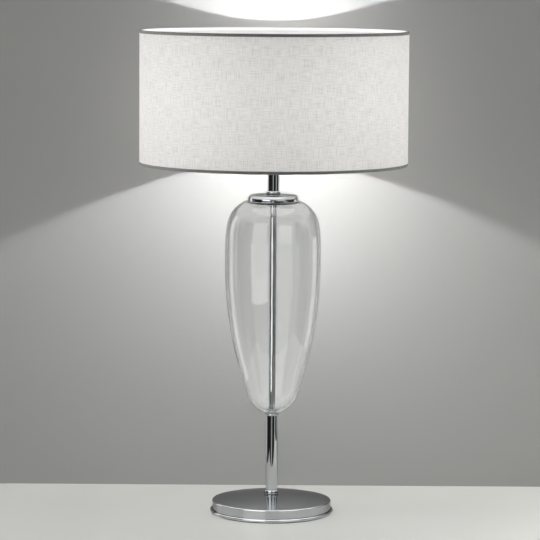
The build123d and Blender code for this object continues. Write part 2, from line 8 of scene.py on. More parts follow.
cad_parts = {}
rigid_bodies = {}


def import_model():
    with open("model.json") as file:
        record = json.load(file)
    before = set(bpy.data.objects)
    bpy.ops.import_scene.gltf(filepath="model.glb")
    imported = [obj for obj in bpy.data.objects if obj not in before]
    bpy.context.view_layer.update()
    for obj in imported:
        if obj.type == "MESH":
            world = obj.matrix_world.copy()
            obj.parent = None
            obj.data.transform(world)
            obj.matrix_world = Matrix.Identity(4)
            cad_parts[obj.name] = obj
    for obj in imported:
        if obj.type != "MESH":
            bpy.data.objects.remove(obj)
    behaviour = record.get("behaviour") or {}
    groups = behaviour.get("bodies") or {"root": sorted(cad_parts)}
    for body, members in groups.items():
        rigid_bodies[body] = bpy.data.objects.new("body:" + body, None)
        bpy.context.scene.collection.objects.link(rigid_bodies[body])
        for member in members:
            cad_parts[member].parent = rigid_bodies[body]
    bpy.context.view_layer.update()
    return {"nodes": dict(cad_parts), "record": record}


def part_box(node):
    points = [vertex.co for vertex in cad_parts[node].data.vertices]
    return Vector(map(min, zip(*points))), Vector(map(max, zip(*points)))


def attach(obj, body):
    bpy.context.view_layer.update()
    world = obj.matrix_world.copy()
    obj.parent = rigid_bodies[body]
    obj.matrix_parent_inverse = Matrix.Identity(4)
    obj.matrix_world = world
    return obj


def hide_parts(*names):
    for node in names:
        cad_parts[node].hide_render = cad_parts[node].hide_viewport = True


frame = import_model()

bl_info = {
    "name": "Glass table lamp",
    "version": (1, 0, 0),
    "blender": (4, 5, 0),
    "location": "3D View > Sidebar > Lamp",
    "description": "Dresses a table lamp with a linen shade, a blown glass body and a chrome stem and base",
    "category": "Add Mesh",
}

MM = 0.001
TURN_STEPS = 144          # facets round a turned piece
FINE_STEPS = 256          # facets round the shade and the base
ROUND_STEPS = 6           # facets across a small rounded edge
ARC_STEPS = 14            # facets along each arc of a long outline
DRILL_STEPS = 48          # facets round a drilled hole
MERGE = 0.001 * MM        # points of a turned surface that are closer than this become one
SHARP = math.radians(40)  # corners sharper than this keep a crisp edge
REAR = math.pi / 2        # direction of the rear, where the shade's seam and the cord inlet are

body_of = {node: body for body, nodes in frame["record"]["behaviour"]["bodies"].items() for node in nodes}
slot_of = {part["node"]: part["material_slot"] for part in frame["record"]["subparts"]}


# Colours and settings


def linear(hex_colour):
    """Linear RGBA of an sRGB hex colour."""
    channels = [int(hex_colour[start:start + 2], 16) / 255 for start in (1, 3, 5)]
    return (*(c / 12.92 if c <= 0.04045 else ((c + 0.055) / 1.055) ** 2.4 for c in channels), 1.0)


def length(name, description, millimetres):
    """Setting for a size, written in millimetres and kept in metres."""
    return bpy.props.FloatProperty(
        name=name, description=description, default=millimetres * MM, min=0.0, precision=4, unit="LENGTH"
    )


def colour(name, description, hex_colour):
    """Setting for a colour, written as an sRGB hex value."""
    default = linear(hex_colour)
    return bpy.props.FloatVectorProperty(
        name=name, description=description, default=default, size=4, min=0.0, max=1.0, subtype="COLOR"
    )


def share(name, description, value):
    """Setting for a value from 0 to 1."""
    return bpy.props.FloatProperty(
        name=name, description=description, default=value, min=0.0, max=1.0, subtype="FACTOR"
    )


def amount(name, description, value):
    """Setting for a strength or a power."""
    return bpy.props.FloatProperty(name=name, description=description, default=value, min=0.0)


class LampBase(bpy.types.PropertyGroup):
    """Sizes of the round base"""

    plate_edge: length("Plate edge", "Round on the rim of the plate", 2.2)
    cover_side: length("Cover side", "Height of the cover's upright side", 13.2)
    cover_edge: length("Cover edge", "Round between the cover's side and its dome", 2.0)
    cover_wall: length("Cover wall", "Sheet thickness of the spun cover", 1.5)
    dome_land: length("Dome land", "Radius of the flat at the centre of the dome", 12.0)
    felt_edge: length("Felt edge", "Round on the lower edge of the felt", 0.5)
    lip: length("Grommet lip", "Thickness of the grommet's lips", 1.2)
    lip_step: length("Grommet step", "How far the lips stand out from the grommet's neck", 0.6)
    grommet_wall: length("Grommet wall", "Rubber between the grommet's neck and its bore", 0.9)
    felt: colour("Felt", "Colour of the felt under the base", "#2A2A2B")


class LampStem(bpy.types.PropertyGroup):
    """Sizes and finish of the chrome stem, cap and rod"""

    chrome: colour("Chrome", "Colour of the bright plating", "#C4C6C8")
    grazing: colour("Grazing", "How much of the plating's shine is left at a flat angle", "#BEBEBE")
    polish: share("Polish", "Roughness of the polished plating", 0.02)
    wiping: length("Wiping marks", "Width of the soft wiping marks on the plating", 35.0)
    tube_wall: length("Tube wall", "Wall of the stem's tubes", 1.0)
    rod_wall: length("Rod wall", "Wall of the tie rod", 1.5)
    rod_room: length("Rod room", "Radial room round the tie rod", 0.2)
    lip: length("Lip", "Small round on the ends of tubes", 0.25)
    bead: length("Collar bead", "Round on the upper edge of a collar", 2.0)
    foot_bead: length("Collar foot", "Round on the lower edge of a collar", 1.6)
    floor: length("Collar floor", "Thickness of a collar under its tube", 1.4)
    seat_bead: length("Seat bead", "Round on the edges of the glass seat", 1.2)
    seat_height: length("Seat height", "Height of the seat's visible ring", 3.0)
    cap_wall: length("Cap wall", "Sheet thickness of the cap on the glass", 1.5)
    cap_edge: length("Cap edge", "Round on the edge of the cap", 6.0)
    cap_fall: length("Cap fall", "How far the cap's top falls to its edge", 2.0)
    cap_land: length("Cap land", "Radius of the flat under the cap's collar", 11.5)
    locator_step: length("Locator step", "Height of the locator's flange, inside the cap", 2.5)
    locator_mouth: length("Locator mouth", "Radius of the locator in the mouth of the glass", 34.5)


class LampGlass(bpy.types.PropertyGroup):
    """Sizes and finish of the blown glass body"""

    wall: length("Wall", "Thickness of the glass", 4.5)
    belly: length("Belly height", "Height of the widest place above the foot", 227.0)
    foot: length("Foot", "Radius of the flat foot", 10.5)
    hole: length("Foot hole", "Radius of the hole in the foot", 7.0)
    land: length("Land", "Radius where the shoulder ends in the flat top", 42.0)
    mouth: length("Mouth", "Radius of the mouth", 35.0)
    gasket: length("Gasket", "Thickness of the gaskets above and below the glass", 0.8)
    glass: colour("Glass", "Tint of the glass", "#FFFFFF")
    depth_tint: colour("Depth tint", "Colour that thick glass takes on", "#C4CAC9")
    depth: amount("Depth", "How soon the depth tint shows in a metre of glass", 24.0)
    clarity: share("Clarity", "Share of the light that passes without being scattered", 0.98)
    ripple: length("Ripple", "Depth of the faint draw lines in the blown glass", 0.1)
    draw_line: length("Draw line", "Width of the draw lines", 24.0)
    draw_form: share("Draw form", "Width of a draw line beside its length", 0.16)


class LampHolder(bpy.types.PropertyGroup):
    """Sizes of the lampholder, the ring nut and the bulb"""

    cap_edge: length("Cap edge", "Round under the lampholder", 5.0)
    wall: length("Wall", "Wall of the lampholder", 2.2)
    pitch: length("Thread pitch", "Pitch of the sleeve's outer thread", 2.5)
    thread: length("Thread depth", "Depth of the sleeve's outer thread", 0.7)
    flange: length("Flange", "Thickness of the sleeve's flange", 3.0)
    barrel: length("Barrel", "Radius of the sleeve", 19.8)
    flute: length("Flute", "Depth of the ring nut's grip flutes", 1.1)
    nut_edge: length("Nut edge", "Round on the edges of the ring nut", 0.7)
    neck: length("Bulb neck", "Radius of the bulb's neck", 12.5)
    glow: amount("Glow", "Brightness of the lit bulb's glass", 3.0)
    light: colour("Light", "Colour of the lit bulb", "#FFFFFF")


class LampShade(bpy.types.PropertyGroup):
    """Sizes and finish of the drum shade"""

    linen: colour("Linen", "Colour of the bleached linen", "#F2F0EE")
    slub: colour("Slub", "Colour of the thick places in the yarn", "#DBD9D7")
    linen_glow: share("Linen glow", "Share of the light that goes through the linen", 0.45)
    liner: colour("Liner", "Colour of the liner inside the shade", "#F3F3F3")
    liner_patch: colour("Liner patch", "Colour of the liner's faint patches", "#EEEEEE")
    liner_glow: share("Liner glow", "Share of the light that goes through the liner", 0.6)
    # The tape colours are greys: painted shade that makes the rims read as darker lines; the yarn adds grain
    # on top
    tape: colour("Tape", "Colour of the tape on the rims", "#9C9C9B")
    tape_yarn_with_painted_shade: colour("Tape yarn", "Colour of the tape's darker yarn", "#868685")
    thread: length("Thread spacing", "Spacing of the linen's threads, drawn coarse enough to show", 1.3)
    weave: length("Weave", "Depth of the linen's weave", 0.12)
    rib: length("Rib", "Depth of the tape's ribs", 0.06)
    panel: length("Panel", "Thickness of the linen with its liner", 1.0)
    tuck: length("Tuck", "How far the panel's edge stops short of the tape's fold", 1.2)
    fold: length("Tape fold", "Round of the tape where it folds over the rim", 1.2)
    tape_thickness: length("Tape thickness", "Thickness of the tape", 0.4)
    seam: length("Seam", "How far the lapped seam at the rear stands out", 0.35)
    arm: length("Arm", "Radius of the carrier's wire arms", 1.75)
    weld: length("Weld", "Half the length of the weld beads on the carrier", 3.0)
    fitter: length("Fitter", "Outer radius of the fitter ring", 29.0)
    fitter_bore: length("Fitter bore", "Inner radius of the fitter ring", 20.2)
    fitter_thickness: length("Fitter thickness", "Thickness of the fitter ring", 2.0)


class LampStage(bpy.types.PropertyGroup):
    """Floor, backdrop, light and camera"""

    floor: colour("Floor", "Colour of the pale floor", "#CFCFCB")
    wall: colour("Backdrop", "Colour of the plain backdrop", "#A6A6A4")
    background: colour("Background", "Colour beyond the floor and the backdrop", "#CBCBC8")
    wall_distance: length("Backdrop distance", "From the lamp's axis to the backdrop", 215.0)
    bulb_power: amount("Bulb power", "Power of the light inside the bulb", 1.5)
    backdrop_glow: amount("Backdrop glow", "Power of the bulb's light on the floor and the backdrop", 5.6)
    camera: bpy.props.FloatVectorProperty(
        name="Camera",
        description="Place of the camera",
        default=(-0.00431, -4.14729, 0.82947),
        subtype="TRANSLATION",
    )
    pitch: bpy.props.FloatProperty(
        name="Pitch", description="How far the camera looks down", default=0.11104, subtype="ANGLE"
    )
    roll: bpy.props.FloatProperty(
        name="Roll", description="Turn of the camera about its view", default=0.00634, subtype="ANGLE"
    )
    lens: bpy.props.FloatProperty(
        name="Lens", description="Focal length in millimetres", default=186.155, subtype="DISTANCE_CAMERA"
    )


# Nodes and patterns


def add(tree, kind, inputs=None, **settings):
    """Adds a node with its settings; an input is a value, a socket, or a node's first open output."""
    node = tree.nodes.new(kind)
    for name, value in settings.items():
        setattr(node, name, value)
    for name, value in (inputs or {}).items():
        if isinstance(value, bpy.types.Node):
            value = next(socket for socket in value.outputs if socket.enabled)
        if isinstance(value, bpy.types.NodeSocket):
            tree.links.new(value, node.inputs[name])
        else:
            node.inputs[name].default_value = value
    return node


def mottle(tree, size, low=0.0, high=1.0, stretch=(1, 1, 1)):
    """Uneven value from low to high in soft patches of a size in metres, on Object coordinates."""
    place = add(tree, "ShaderNodeTexCoord")
    mapped = add(tree, "ShaderNodeMapping", {"Vector": place.outputs["Object"], "Scale": stretch})
    noise = add(tree, "ShaderNodeTexNoise", {"Vector": mapped, "Scale": 1 / size, "Detail": 3.0})
    spread = {"Value": noise, "From Min": 0.3, "From Max": 0.7, "To Min": low, "To Max": high}
    return add(tree, "ShaderNodeMapRange", spread)


def round_from_front(tree):
    """Height, and the angle round the lamp's axis from the front, on Object coordinates."""
    place = add(tree, "ShaderNodeTexCoord")
    axes = add(tree, "ShaderNodeSeparateXYZ", {"Vector": place.outputs["Object"]})
    frontwards = add(tree, "ShaderNodeMath", {0: axes.outputs["Y"], 1: -1.0}, operation="MULTIPLY")
    angle = add(tree, "ShaderNodeMath", {0: axes.outputs["X"], 1: frontwards}, operation="ARCTAN2")
    return axes.outputs["Z"], angle


def thread_places(scene, tree):
    """Place in the cloth counted in threads: round the shade from the front, up it, and as a vector."""
    thread = scene.lamp_shade.thread
    height, angle = round_from_front(tree)
    around = extent("shade_fabric")[0] / thread
    round_it = add(tree, "ShaderNodeMath", {0: angle, 1: around}, operation="MULTIPLY")
    up_it = add(tree, "ShaderNodeMath", {0: height, 1: 1 / thread}, operation="MULTIPLY")
    return round_it, up_it, add(tree, "ShaderNodeCombineXYZ", {"X": round_it, "Y": up_it})


def slubs(tree, threads, run, width, low, high):
    """Thick places in the yarn, as long and as wide as run and width say, counted in threads."""
    mapped = add(tree, "ShaderNodeMapping", {"Vector": threads, "Scale": (1 / run, 1 / width, 1)})
    noise = add(tree, "ShaderNodeTexNoise", {"Vector": mapped, "Scale": 1.0, "Detail": 2.0})
    return add(tree, "ShaderNodeMapRange", {"Value": noise, "From Min": low, "From Max": high})


def new_tree(name):
    """New material and its empty node tree."""
    material = bpy.data.materials.new(name)
    material.use_nodes = True
    material.node_tree.nodes.clear()
    return material, material.node_tree


def seen_only(name):
    """New material whose own brightness is seen but isn't sampled as a light, and its empty node tree."""
    material, tree = new_tree(name)
    material.cycles.emission_sampling = "NONE"
    return material, tree


# Finishes


def chrome(scene):
    """Bright chrome plate on polished metal: a clean mirror with soft, wide wiping marks."""
    stem = scene.lamp_stem
    material, tree = new_tree("bright_chrome_plate")
    marks = mottle(tree, stem.wiping, 0.6 * stem.polish, 1.9 * stem.polish)
    look = {"Base Color": stem.chrome, "Specular Tint": stem.grazing, "Metallic": 1.0, "Roughness": marks}
    plating = add(tree, "ShaderNodeBsdfPrincipled", look)
    add(tree, "ShaderNodeOutputMaterial", {"Surface": plating})
    return material


def blown_glass(scene):
    """Clear blown glass: darker only where one looks along its wall; draw lines waver in its reflections."""
    glass = scene.lamp_glass
    material, tree = new_tree("clear_blown_glass")
    draw_lines = mottle(tree, glass.draw_line, stretch=(1, 1, glass.draw_form))
    look = {
        "Base Color": glass.glass,
        "Roughness": 0.0,
        "IOR": 1.5,
        "Transmission Weight": glass.clarity,
        "Normal": add(tree, "ShaderNodeBump", {"Height": draw_lines, "Distance": glass.ripple}),
    }
    skin = add(tree, "ShaderNodeBsdfPrincipled", look)
    body = add(tree, "ShaderNodeVolumeAbsorption", {"Color": glass.depth_tint, "Density": glass.depth})
    add(tree, "ShaderNodeOutputMaterial", {"Surface": skin, "Volume": body})
    return material


def linen(scene):
    """Bleached slubby linen in plain weave, lit from behind: thick yarns show as faint darker lines."""
    shade = scene.lamp_shade
    material, tree = new_tree("bleached_linen")
    round_it, up_it, threads = thread_places(scene, tree)
    weft = slubs(tree, threads, run=14, width=0.8, low=0.45, high=0.8)
    warp = slubs(tree, threads, run=0.8, width=14, low=0.45, high=0.8)
    yarn = add(tree, "ShaderNodeMath", {0: weft, 1: warp}, operation="ADD")
    knots = slubs(tree, threads, run=9, width=1.0, low=0.66, high=0.76)
    uneven = add(tree, "ShaderNodeMath", {0: yarn, 1: knots}, operation="ADD", use_clamp=True)
    waves = []
    for along in (round_it, up_it):
        phase = add(tree, "ShaderNodeMath", {0: along, 1: math.pi}, operation="MULTIPLY")
        waves.append(add(tree, "ShaderNodeMath", {0: phase}, operation="SINE"))
    weave = add(tree, "ShaderNodeMath", {0: waves[0], 1: waves[1]}, operation="MULTIPLY")
    height = add(tree, "ShaderNodeMath", {0: weave, 1: yarn}, operation="ADD")
    colours = {"Factor": uneven, "A": shade.linen, "B": shade.slub}
    cloth = add(tree, "ShaderNodeMix", colours, data_type="RGBA")
    look = {
        "Base Color": cloth,
        "Roughness": 0.9,
        "Specular IOR Level": 0.2,
        "Sheen Weight": 0.15,
        "Normal": add(tree, "ShaderNodeBump", {"Height": height, "Distance": shade.weave}),
    }
    front = add(tree, "ShaderNodeBsdfPrincipled", look)
    through = add(tree, "ShaderNodeBsdfTranslucent", {"Color": cloth})
    both = add(tree, "ShaderNodeMixShader", {"Fac": shade.linen_glow, 1: front, 2: through})
    add(tree, "ShaderNodeOutputMaterial", {"Surface": both})
    return material


def liner(scene):
    """White styrene film bonded behind the linen: even, faintly satin, bright where the bulb lights it."""
    shade = scene.lamp_shade
    material, tree = new_tree("white_styrene_liner")
    colours = {"Factor": mottle(tree, 18 * MM), "A": shade.liner, "B": shade.liner_patch}
    film = add(tree, "ShaderNodeMix", colours, data_type="RGBA")
    satin = mottle(tree, 6 * MM, low=0.42, high=0.55)
    look = {"Base Color": film, "Roughness": satin, "Specular IOR Level": 0.3}
    front = add(tree, "ShaderNodeBsdfPrincipled", look)
    through = add(tree, "ShaderNodeBsdfTranslucent", {"Color": film})
    both = add(tree, "ShaderNodeMixShader", {"Fac": shade.liner_glow, 1: front, 2: through})
    add(tree, "ShaderNodeOutputMaterial", {"Surface": both})
    return material


def rim_tape(scene):
    """Cotton tape folded over the rims, opaque over the wire; its outside is painted shade, a grey that
    reads as a darker line; white inside.
    """
    shade = scene.lamp_shade
    material, tree = new_tree("cotton_rim_tape")
    round_it, _, threads = thread_places(scene, tree)
    phase = add(tree, "ShaderNodeMath", {0: round_it, 1: 2 * math.pi}, operation="MULTIPLY")
    ribs = add(tree, "ShaderNodeMath", {0: phase}, operation="SINE")
    yarn = slubs(tree, threads, run=6, width=1.5, low=0.35, high=0.75)
    place = add(tree, "ShaderNodeTexCoord")
    outwards = {0: place.outputs["Object"], 1: (1, 1, 0)}
    level = add(tree, "ShaderNodeVectorMath", outwards, operation="MULTIPLY")
    faces = {0: level, 1: place.outputs["Normal"]}
    facing = add(tree, "ShaderNodeVectorMath", faces, operation="DOT_PRODUCT")
    inside = add(tree, "ShaderNodeMath", {0: facing, 1: 0.0}, operation="LESS_THAN")
    # Painted shade: the outer side is grey so the rim reads as a darker line; the inner side keeps the
    # liner's white
    colours = {"Factor": yarn, "A": shade.tape, "B": shade.tape_yarn_with_painted_shade}
    outer = add(tree, "ShaderNodeMix", colours, data_type="RGBA")
    colours = {"Factor": inside, "A": outer, "B": shade.liner}
    look = {
        "Base Color": add(tree, "ShaderNodeMix", colours, data_type="RGBA"),
        "Roughness": 0.9,
        "Specular IOR Level": 0.2,
        "Normal": add(tree, "ShaderNodeBump", {"Height": ribs, "Distance": shade.rib}),
    }
    tape = add(tree, "ShaderNodeBsdfPrincipled", look)
    add(tree, "ShaderNodeOutputMaterial", {"Surface": tape})
    return material


def lit_bulb(scene):
    """Frosted bulb glass, lit: an even glow and a fine etched grain; the light comes from inside it."""
    holder = scene.lamp_holder
    material, tree = seen_only("frosted_bulb_glass")
    look = {
        "Base Color": linear("#F1EFEA"),
        "Roughness": mottle(tree, 1.5 * MM, low=0.5, high=0.65),
        "Emission Color": holder.light,
        "Emission Strength": holder.glow,
    }
    frosted = add(tree, "ShaderNodeBsdfPrincipled", look)
    add(tree, "ShaderNodeOutputMaterial", {"Surface": frosted})
    return material


# Finishes that differ only in colour, grain and shine: name, light and dark colour, grain in mm, roughness,
# metallic and relief in mm; the felt's light colour is a setting
grained = {
    "felt": ("pressed_wool_felt", None, "#171718", 1.6, 0.95, 0.0, 0.30),
    "iron": ("cast_iron", "#4A4947", "#33312F", 1.2, 0.65, 1.0, 0.15),
    "zinc_steel": ("zinc_plated_steel", "#B4B7BA", "#9A9DA2", 3.0, 0.32, 1.0, 0.01),
    "black_rubber": ("moulded_black_rubber", "#232324", "#19191A", 2.0, 0.62, 0.0, 0.03),
    "silicone": ("moulded_silicone", "#D9DAD8", "#CBCCCA", 4.0, 0.38, 0.0, 0.01),
    "white_nylon": ("moulded_nylon", "#E3E2DC", "#D6D5CE", 3.0, 0.45, 0.0, 0.02),
    "brass": ("turned_brass", "#D2B06A", "#BF9A55", 2.5, 0.28, 1.0, 0.01),
    "nickel": ("nickel_plated_sheet", "#C9C4B8", "#B5B0A4", 4.0, 0.24, 1.0, 0.01),
    "steatite": ("fired_steatite", "#ECE9E1", "#DEDAD0", 2.5, 0.30, 0.0, 0.02),
    "black_phenolic": ("moulded_phenolic", "#222120", "#161514", 1.8, 0.34, 0.0, 0.02),
    "brown_wire": ("brown_wire_sleeve", "#6B3F22", "#5C351C", 2.0, 0.42, 0.0, 0.01),
    "blue_wire": ("blue_wire_sleeve", "#2E5AA0", "#264D8C", 2.0, 0.42, 0.0, 0.01),
    "bulb_aluminium": ("rolled_bulb_aluminium", "#CFD0D1", "#BABBBD", 2.0, 0.30, 1.0, 0.02),
    "black_glass": ("black_vitreous_glass", "#151517", "#0D0D0F", 2.0, 0.12, 0.0, 0.01),
    "tungsten": ("drawn_tungsten", "#6D6C6A", "#575654", 0.5, 0.38, 1.0, 0.01),
    "white_wire": ("white_powder_coat", "#E9E9E6", "#E0E0DC", 1.1, 0.42, 0.0, 0.03),
}


def grained_finish(scene, slot):
    """One of the plain finishes, with its colour, shine and relief all following its own grain."""
    name, light, dark, grain, roughness, metallic, depth = grained[slot]
    material, tree = new_tree(name)
    size = grain * MM
    light_colour = linear(light) if light else scene.lamp_base.felt
    colours = {"Factor": mottle(tree, size), "A": light_colour, "B": linear(dark)}
    bumps = {"Height": mottle(tree, size / 2), "Distance": depth * MM}
    look = {
        "Base Color": add(tree, "ShaderNodeMix", colours, data_type="RGBA"),
        "Metallic": metallic,
        "Roughness": mottle(tree, 3 * size, 0.85 * roughness, min(1.1 * roughness, 1.0)),
        "Normal": add(tree, "ShaderNodeBump", bumps),
    }
    plain = add(tree, "ShaderNodeBsdfPrincipled", look)
    add(tree, "ShaderNodeOutputMaterial", {"Surface": plain})
    return material


own_finishes = {
    "chrome": chrome,
    "clear_glass": blown_glass,
    "white_linen": linen,
    "white_liner": liner,
    "rim_tape": rim_tape,
    "frosted_glass": lit_bulb,
}
made_finishes = {}


def finish(scene, slot):
    """The material of a slot, made once."""
    if slot not in made_finishes:
        own = own_finishes.get(slot)
        made_finishes[slot] = own(scene) if own else grained_finish(scene, slot)
    return made_finishes[slot]


# Shapes


def extent(node):
    """Outer radius, bottom and top of a node that is turned about the lamp's axis."""
    low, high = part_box(node)
    return high.x, low.z, high.z


def ring(inner, outer, bottom, top):
    """Corners of a plain ring's half section."""
    return [(inner, bottom), (outer, bottom), (outer, top), (inner, top)]


def stepped(inner, lower, upper, bottom, step, top):
    """Corners of the half section of a ring whose outer radius changes at a step."""
    return [(inner, bottom), (lower, bottom), (lower, step), (upper, step), (upper, top), (inner, top)]


def cup(inner, outer, socket, bottom, floor, top):
    """Corners of the half section of a ring with a wider socket above its floor."""
    return [(inner, bottom), (outer, bottom), (outer, top), (socket, top), (socket, floor), (inner, floor)]


def draw(bm, corners, rounds, closed=True):
    """Edges through the corners (radius, height) of a half section; rounds gives some corners a radius."""
    verts = [bm.verts.new((radius, 0, height)) for radius, height in corners]
    for first, second in zip(verts, verts[1:] + verts[:1] * closed):
        bm.edges.new((first, second))
    for index, radius in rounds.items():
        here = Vector(corners[index])
        before = Vector(corners[index - 1]) - here
        after = Vector(corners[(index + 1) % len(corners)]) - here
        bmesh.ops.bevel(
            bm,
            geom=[verts[index]],
            offset=radius / math.tan(before.angle(after) / 2),
            offset_type="OFFSET",
            segments=ROUND_STEPS,
            profile=0.5,
            affect="VERTICES",
            material=-1,
        )


def arc_about(bm, vert, centre, turn, steps=ARC_STEPS):
    """Carries a line on from vert along an arc about a centre (radius, height); returns its last vertex."""
    made = bmesh.ops.spin(
        bm,
        geom=[vert],
        cent=(centre[0], 0, centre[1]),
        axis=(0, -1, 0),
        angle=turn,
        steps=steps,
        use_duplicate=False,
    )
    return made["geom_last"][0]


def arcs_through(bm, vert, tangent, points):
    """Carries a line on from vert through points by arcs, each tangent to the one before it."""
    tangent = Vector(tangent)
    for point in points:
        here = Vector((vert.co.x, vert.co.z))
        chord = Vector(point) - here
        normal = Vector((-tangent.y, tangent.x))
        centre = here + normal * chord.length_squared / (2 * normal.dot(chord))
        turn = 2 * math.atan2(tangent.x * chord.y - tangent.y * chord.x, tangent.dot(chord))
        vert = arc_about(bm, vert, centre, turn)
        tangent = Matrix.Rotation(turn, 2) @ tangent
    return vert


def line_on(bm, vert, radius, height):
    """Carries a line on from vert straight to a place; returns its last vertex."""
    end = bm.verts.new((radius, 0, height))
    bm.edges.new((vert, end))
    return end


def revolve(bm, steps=TURN_STEPS):
    """Turns the drawn line about the lamp's axis into a surface that faces outwards."""
    bmesh.ops.spin(
        bm,
        geom=bm.verts[:] + bm.edges[:],
        cent=(0, 0, 0),
        axis=(0, 0, 1),
        angle=2 * math.pi,
        steps=steps,
        use_merge=True,
        use_duplicate=False,
    )
    bmesh.ops.remove_doubles(bm, verts=bm.verts, dist=MERGE)
    bmesh.ops.recalc_face_normals(bm, faces=bm.faces)


def turned(corners, rounds, steps=TURN_STEPS):
    """Solid turned from a closed half section."""
    bm = bmesh.new()
    draw(bm, corners, rounds)
    revolve(bm, steps)
    return bm


def thicken(bm, wall):
    """Gives an outer surface a wall on its inner side."""
    bmesh.ops.solidify(bm, geom=bm.faces[:], thickness=wall)


def as_mesh(name, bm):
    """Mesh of a finished bmesh, which is freed."""
    mesh = bpy.data.meshes.new(name)
    bm.to_mesh(mesh)
    bm.free()
    return mesh


def in_scene(context, name, data):
    """Object for a mesh, a light or a camera, in the scene."""
    made = bpy.data.objects.new(name, data)
    context.scene.collection.objects.link(made)
    return made


def add_piece(context, name, bm, *nodes):
    """Makes an object of the mesh; it stands for the nodes, with the first one's body and finish."""
    slot = slot_of[nodes[0]]
    mesh = as_mesh(name, bm)
    mesh.materials.append(finish(context.scene, slot))
    mesh.shade_smooth()
    mesh.set_sharp_from_angle(angle=SHARP)
    piece = in_scene(context, name, mesh)
    even = piece.modifiers.new("Flat faces stay flat", "WEIGHTED_NORMAL")
    even.keep_sharp = True
    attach(piece, body_of[nodes[0]])
    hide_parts(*nodes)
    return piece


def bore_hole(context, piece, radius, start, end):
    """Cuts a round hole through a piece between two places."""
    start = Vector(start)
    end = Vector(end)
    path = end - start
    bm = bmesh.new()
    bmesh.ops.create_cone(
        bm,
        cap_ends=True,
        segments=DRILL_STEPS,
        radius1=radius,
        radius2=radius,
        depth=path.length,
        matrix=Matrix.Translation((start + end) / 2) @ path.to_track_quat("Z", "Y").to_matrix().to_4x4(),
    )
    drill = in_scene(context, "drill", as_mesh("drill", bm))
    cut = piece.modifiers.new("Hole", "BOOLEAN")
    cut.object = drill
    solid = piece.evaluated_get(context.evaluated_depsgraph_get())
    drilled = bpy.data.meshes.new_from_object(solid)
    piece.modifiers.remove(cut)
    bpy.data.objects.remove(drill)
    drilled.set_sharp_from_angle(angle=SHARP)
    piece.data = drilled


def rod_hole(scene):
    """Radius of the hole that the tie rod runs in."""
    return extent("tie_rod")[0] + scene.lamp_stem.rod_room


# Operators


class LAMP_OT_base(bpy.types.Operator):
    """Makes the round base: felt, flanged plate, spun cover and cord grommet"""

    bl_idname = "lamp.base"
    bl_label = "Base"

    def execute(self, context):
        base = context.scene.lamp_base
        rim = {1: base.plate_edge, 2: base.plate_edge}
        plate = turned(ring(0, *extent("base_plate")), rim, FINE_STEPS)
        add_piece(context, "flanged_plate", plate, "base_plate")
        self.cover(context, base)
        self.grommet(context, base)
        felt = turned(ring(0, *extent("base_felt")), {1: base.felt_edge})
        felt = add_piece(context, "felt_pad", felt, "base_felt")
        return {"FINISHED"}

    def cover(self, context, base):
        """Spun cover: flat land, domed top, rounded edge and upright side, all of one sheet."""
        radius, bottom, top = extent("base_cover")
        reach = radius - base.dome_land
        rise = top - bottom - base.cover_side
        dome = (reach ** 2 + rise ** 2) / (2 * rise)
        tilt = math.asin((reach - base.cover_edge) / (dome - base.cover_edge))
        bm = bmesh.new()
        vert = line_on(bm, bm.verts.new((rod_hole(context.scene), 0, top)), base.dome_land, top)
        vert = arc_about(bm, vert, (base.dome_land, top - dome), -tilt, 4 * ARC_STEPS)
        edge_centre = (
            vert.co.x - base.cover_edge * math.sin(tilt),
            vert.co.z - base.cover_edge * math.cos(tilt),
        )
        vert = arc_about(bm, vert, edge_centre, tilt - math.pi / 2)
        line_on(bm, vert, radius, bottom)
        revolve(bm, FINE_STEPS)
        thicken(bm, base.cover_wall)
        cover = add_piece(context, "spun_cover", bm, "base_cover")
        low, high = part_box("cord_grommet")
        inlet = (low.z + high.z) / 2
        neck = (high.x - low.x) / 2 - base.lip_step
        bore_hole(context, cover, neck, (0, low.y, inlet), (0, high.y, inlet))

    def grommet(self, context, base):
        """Rubber grommet in the rear wall, turned upright and then laid along the cord's way."""
        low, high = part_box("cord_grommet")
        lip_radius = (high.x - low.x) / 2
        neck = lip_radius - base.lip_step
        bore = neck - base.grommet_wall
        inner_lip = low.y + base.lip
        outer_lip = high.y - base.lip
        corners = [
            (bore, low.y),
            (lip_radius, low.y),
            (lip_radius, inner_lip),
            (neck, inner_lip),
            (neck, outer_lip),
            (lip_radius, outer_lip),
            (lip_radius, high.y),
            (bore, high.y),
        ]
        soft = base.lip / 3
        bm = turned(corners, {1: soft, 2: soft, 5: soft, 6: base.lip / 2, 7: soft})
        laid = Matrix.Translation((0, 0, (low.z + high.z) / 2)) @ Matrix.Rotation(-REAR, 4, "X")
        bmesh.ops.transform(bm, matrix=laid, verts=bm.verts)
        add_piece(context, "inlet_grommet", bm, "cord_grommet")


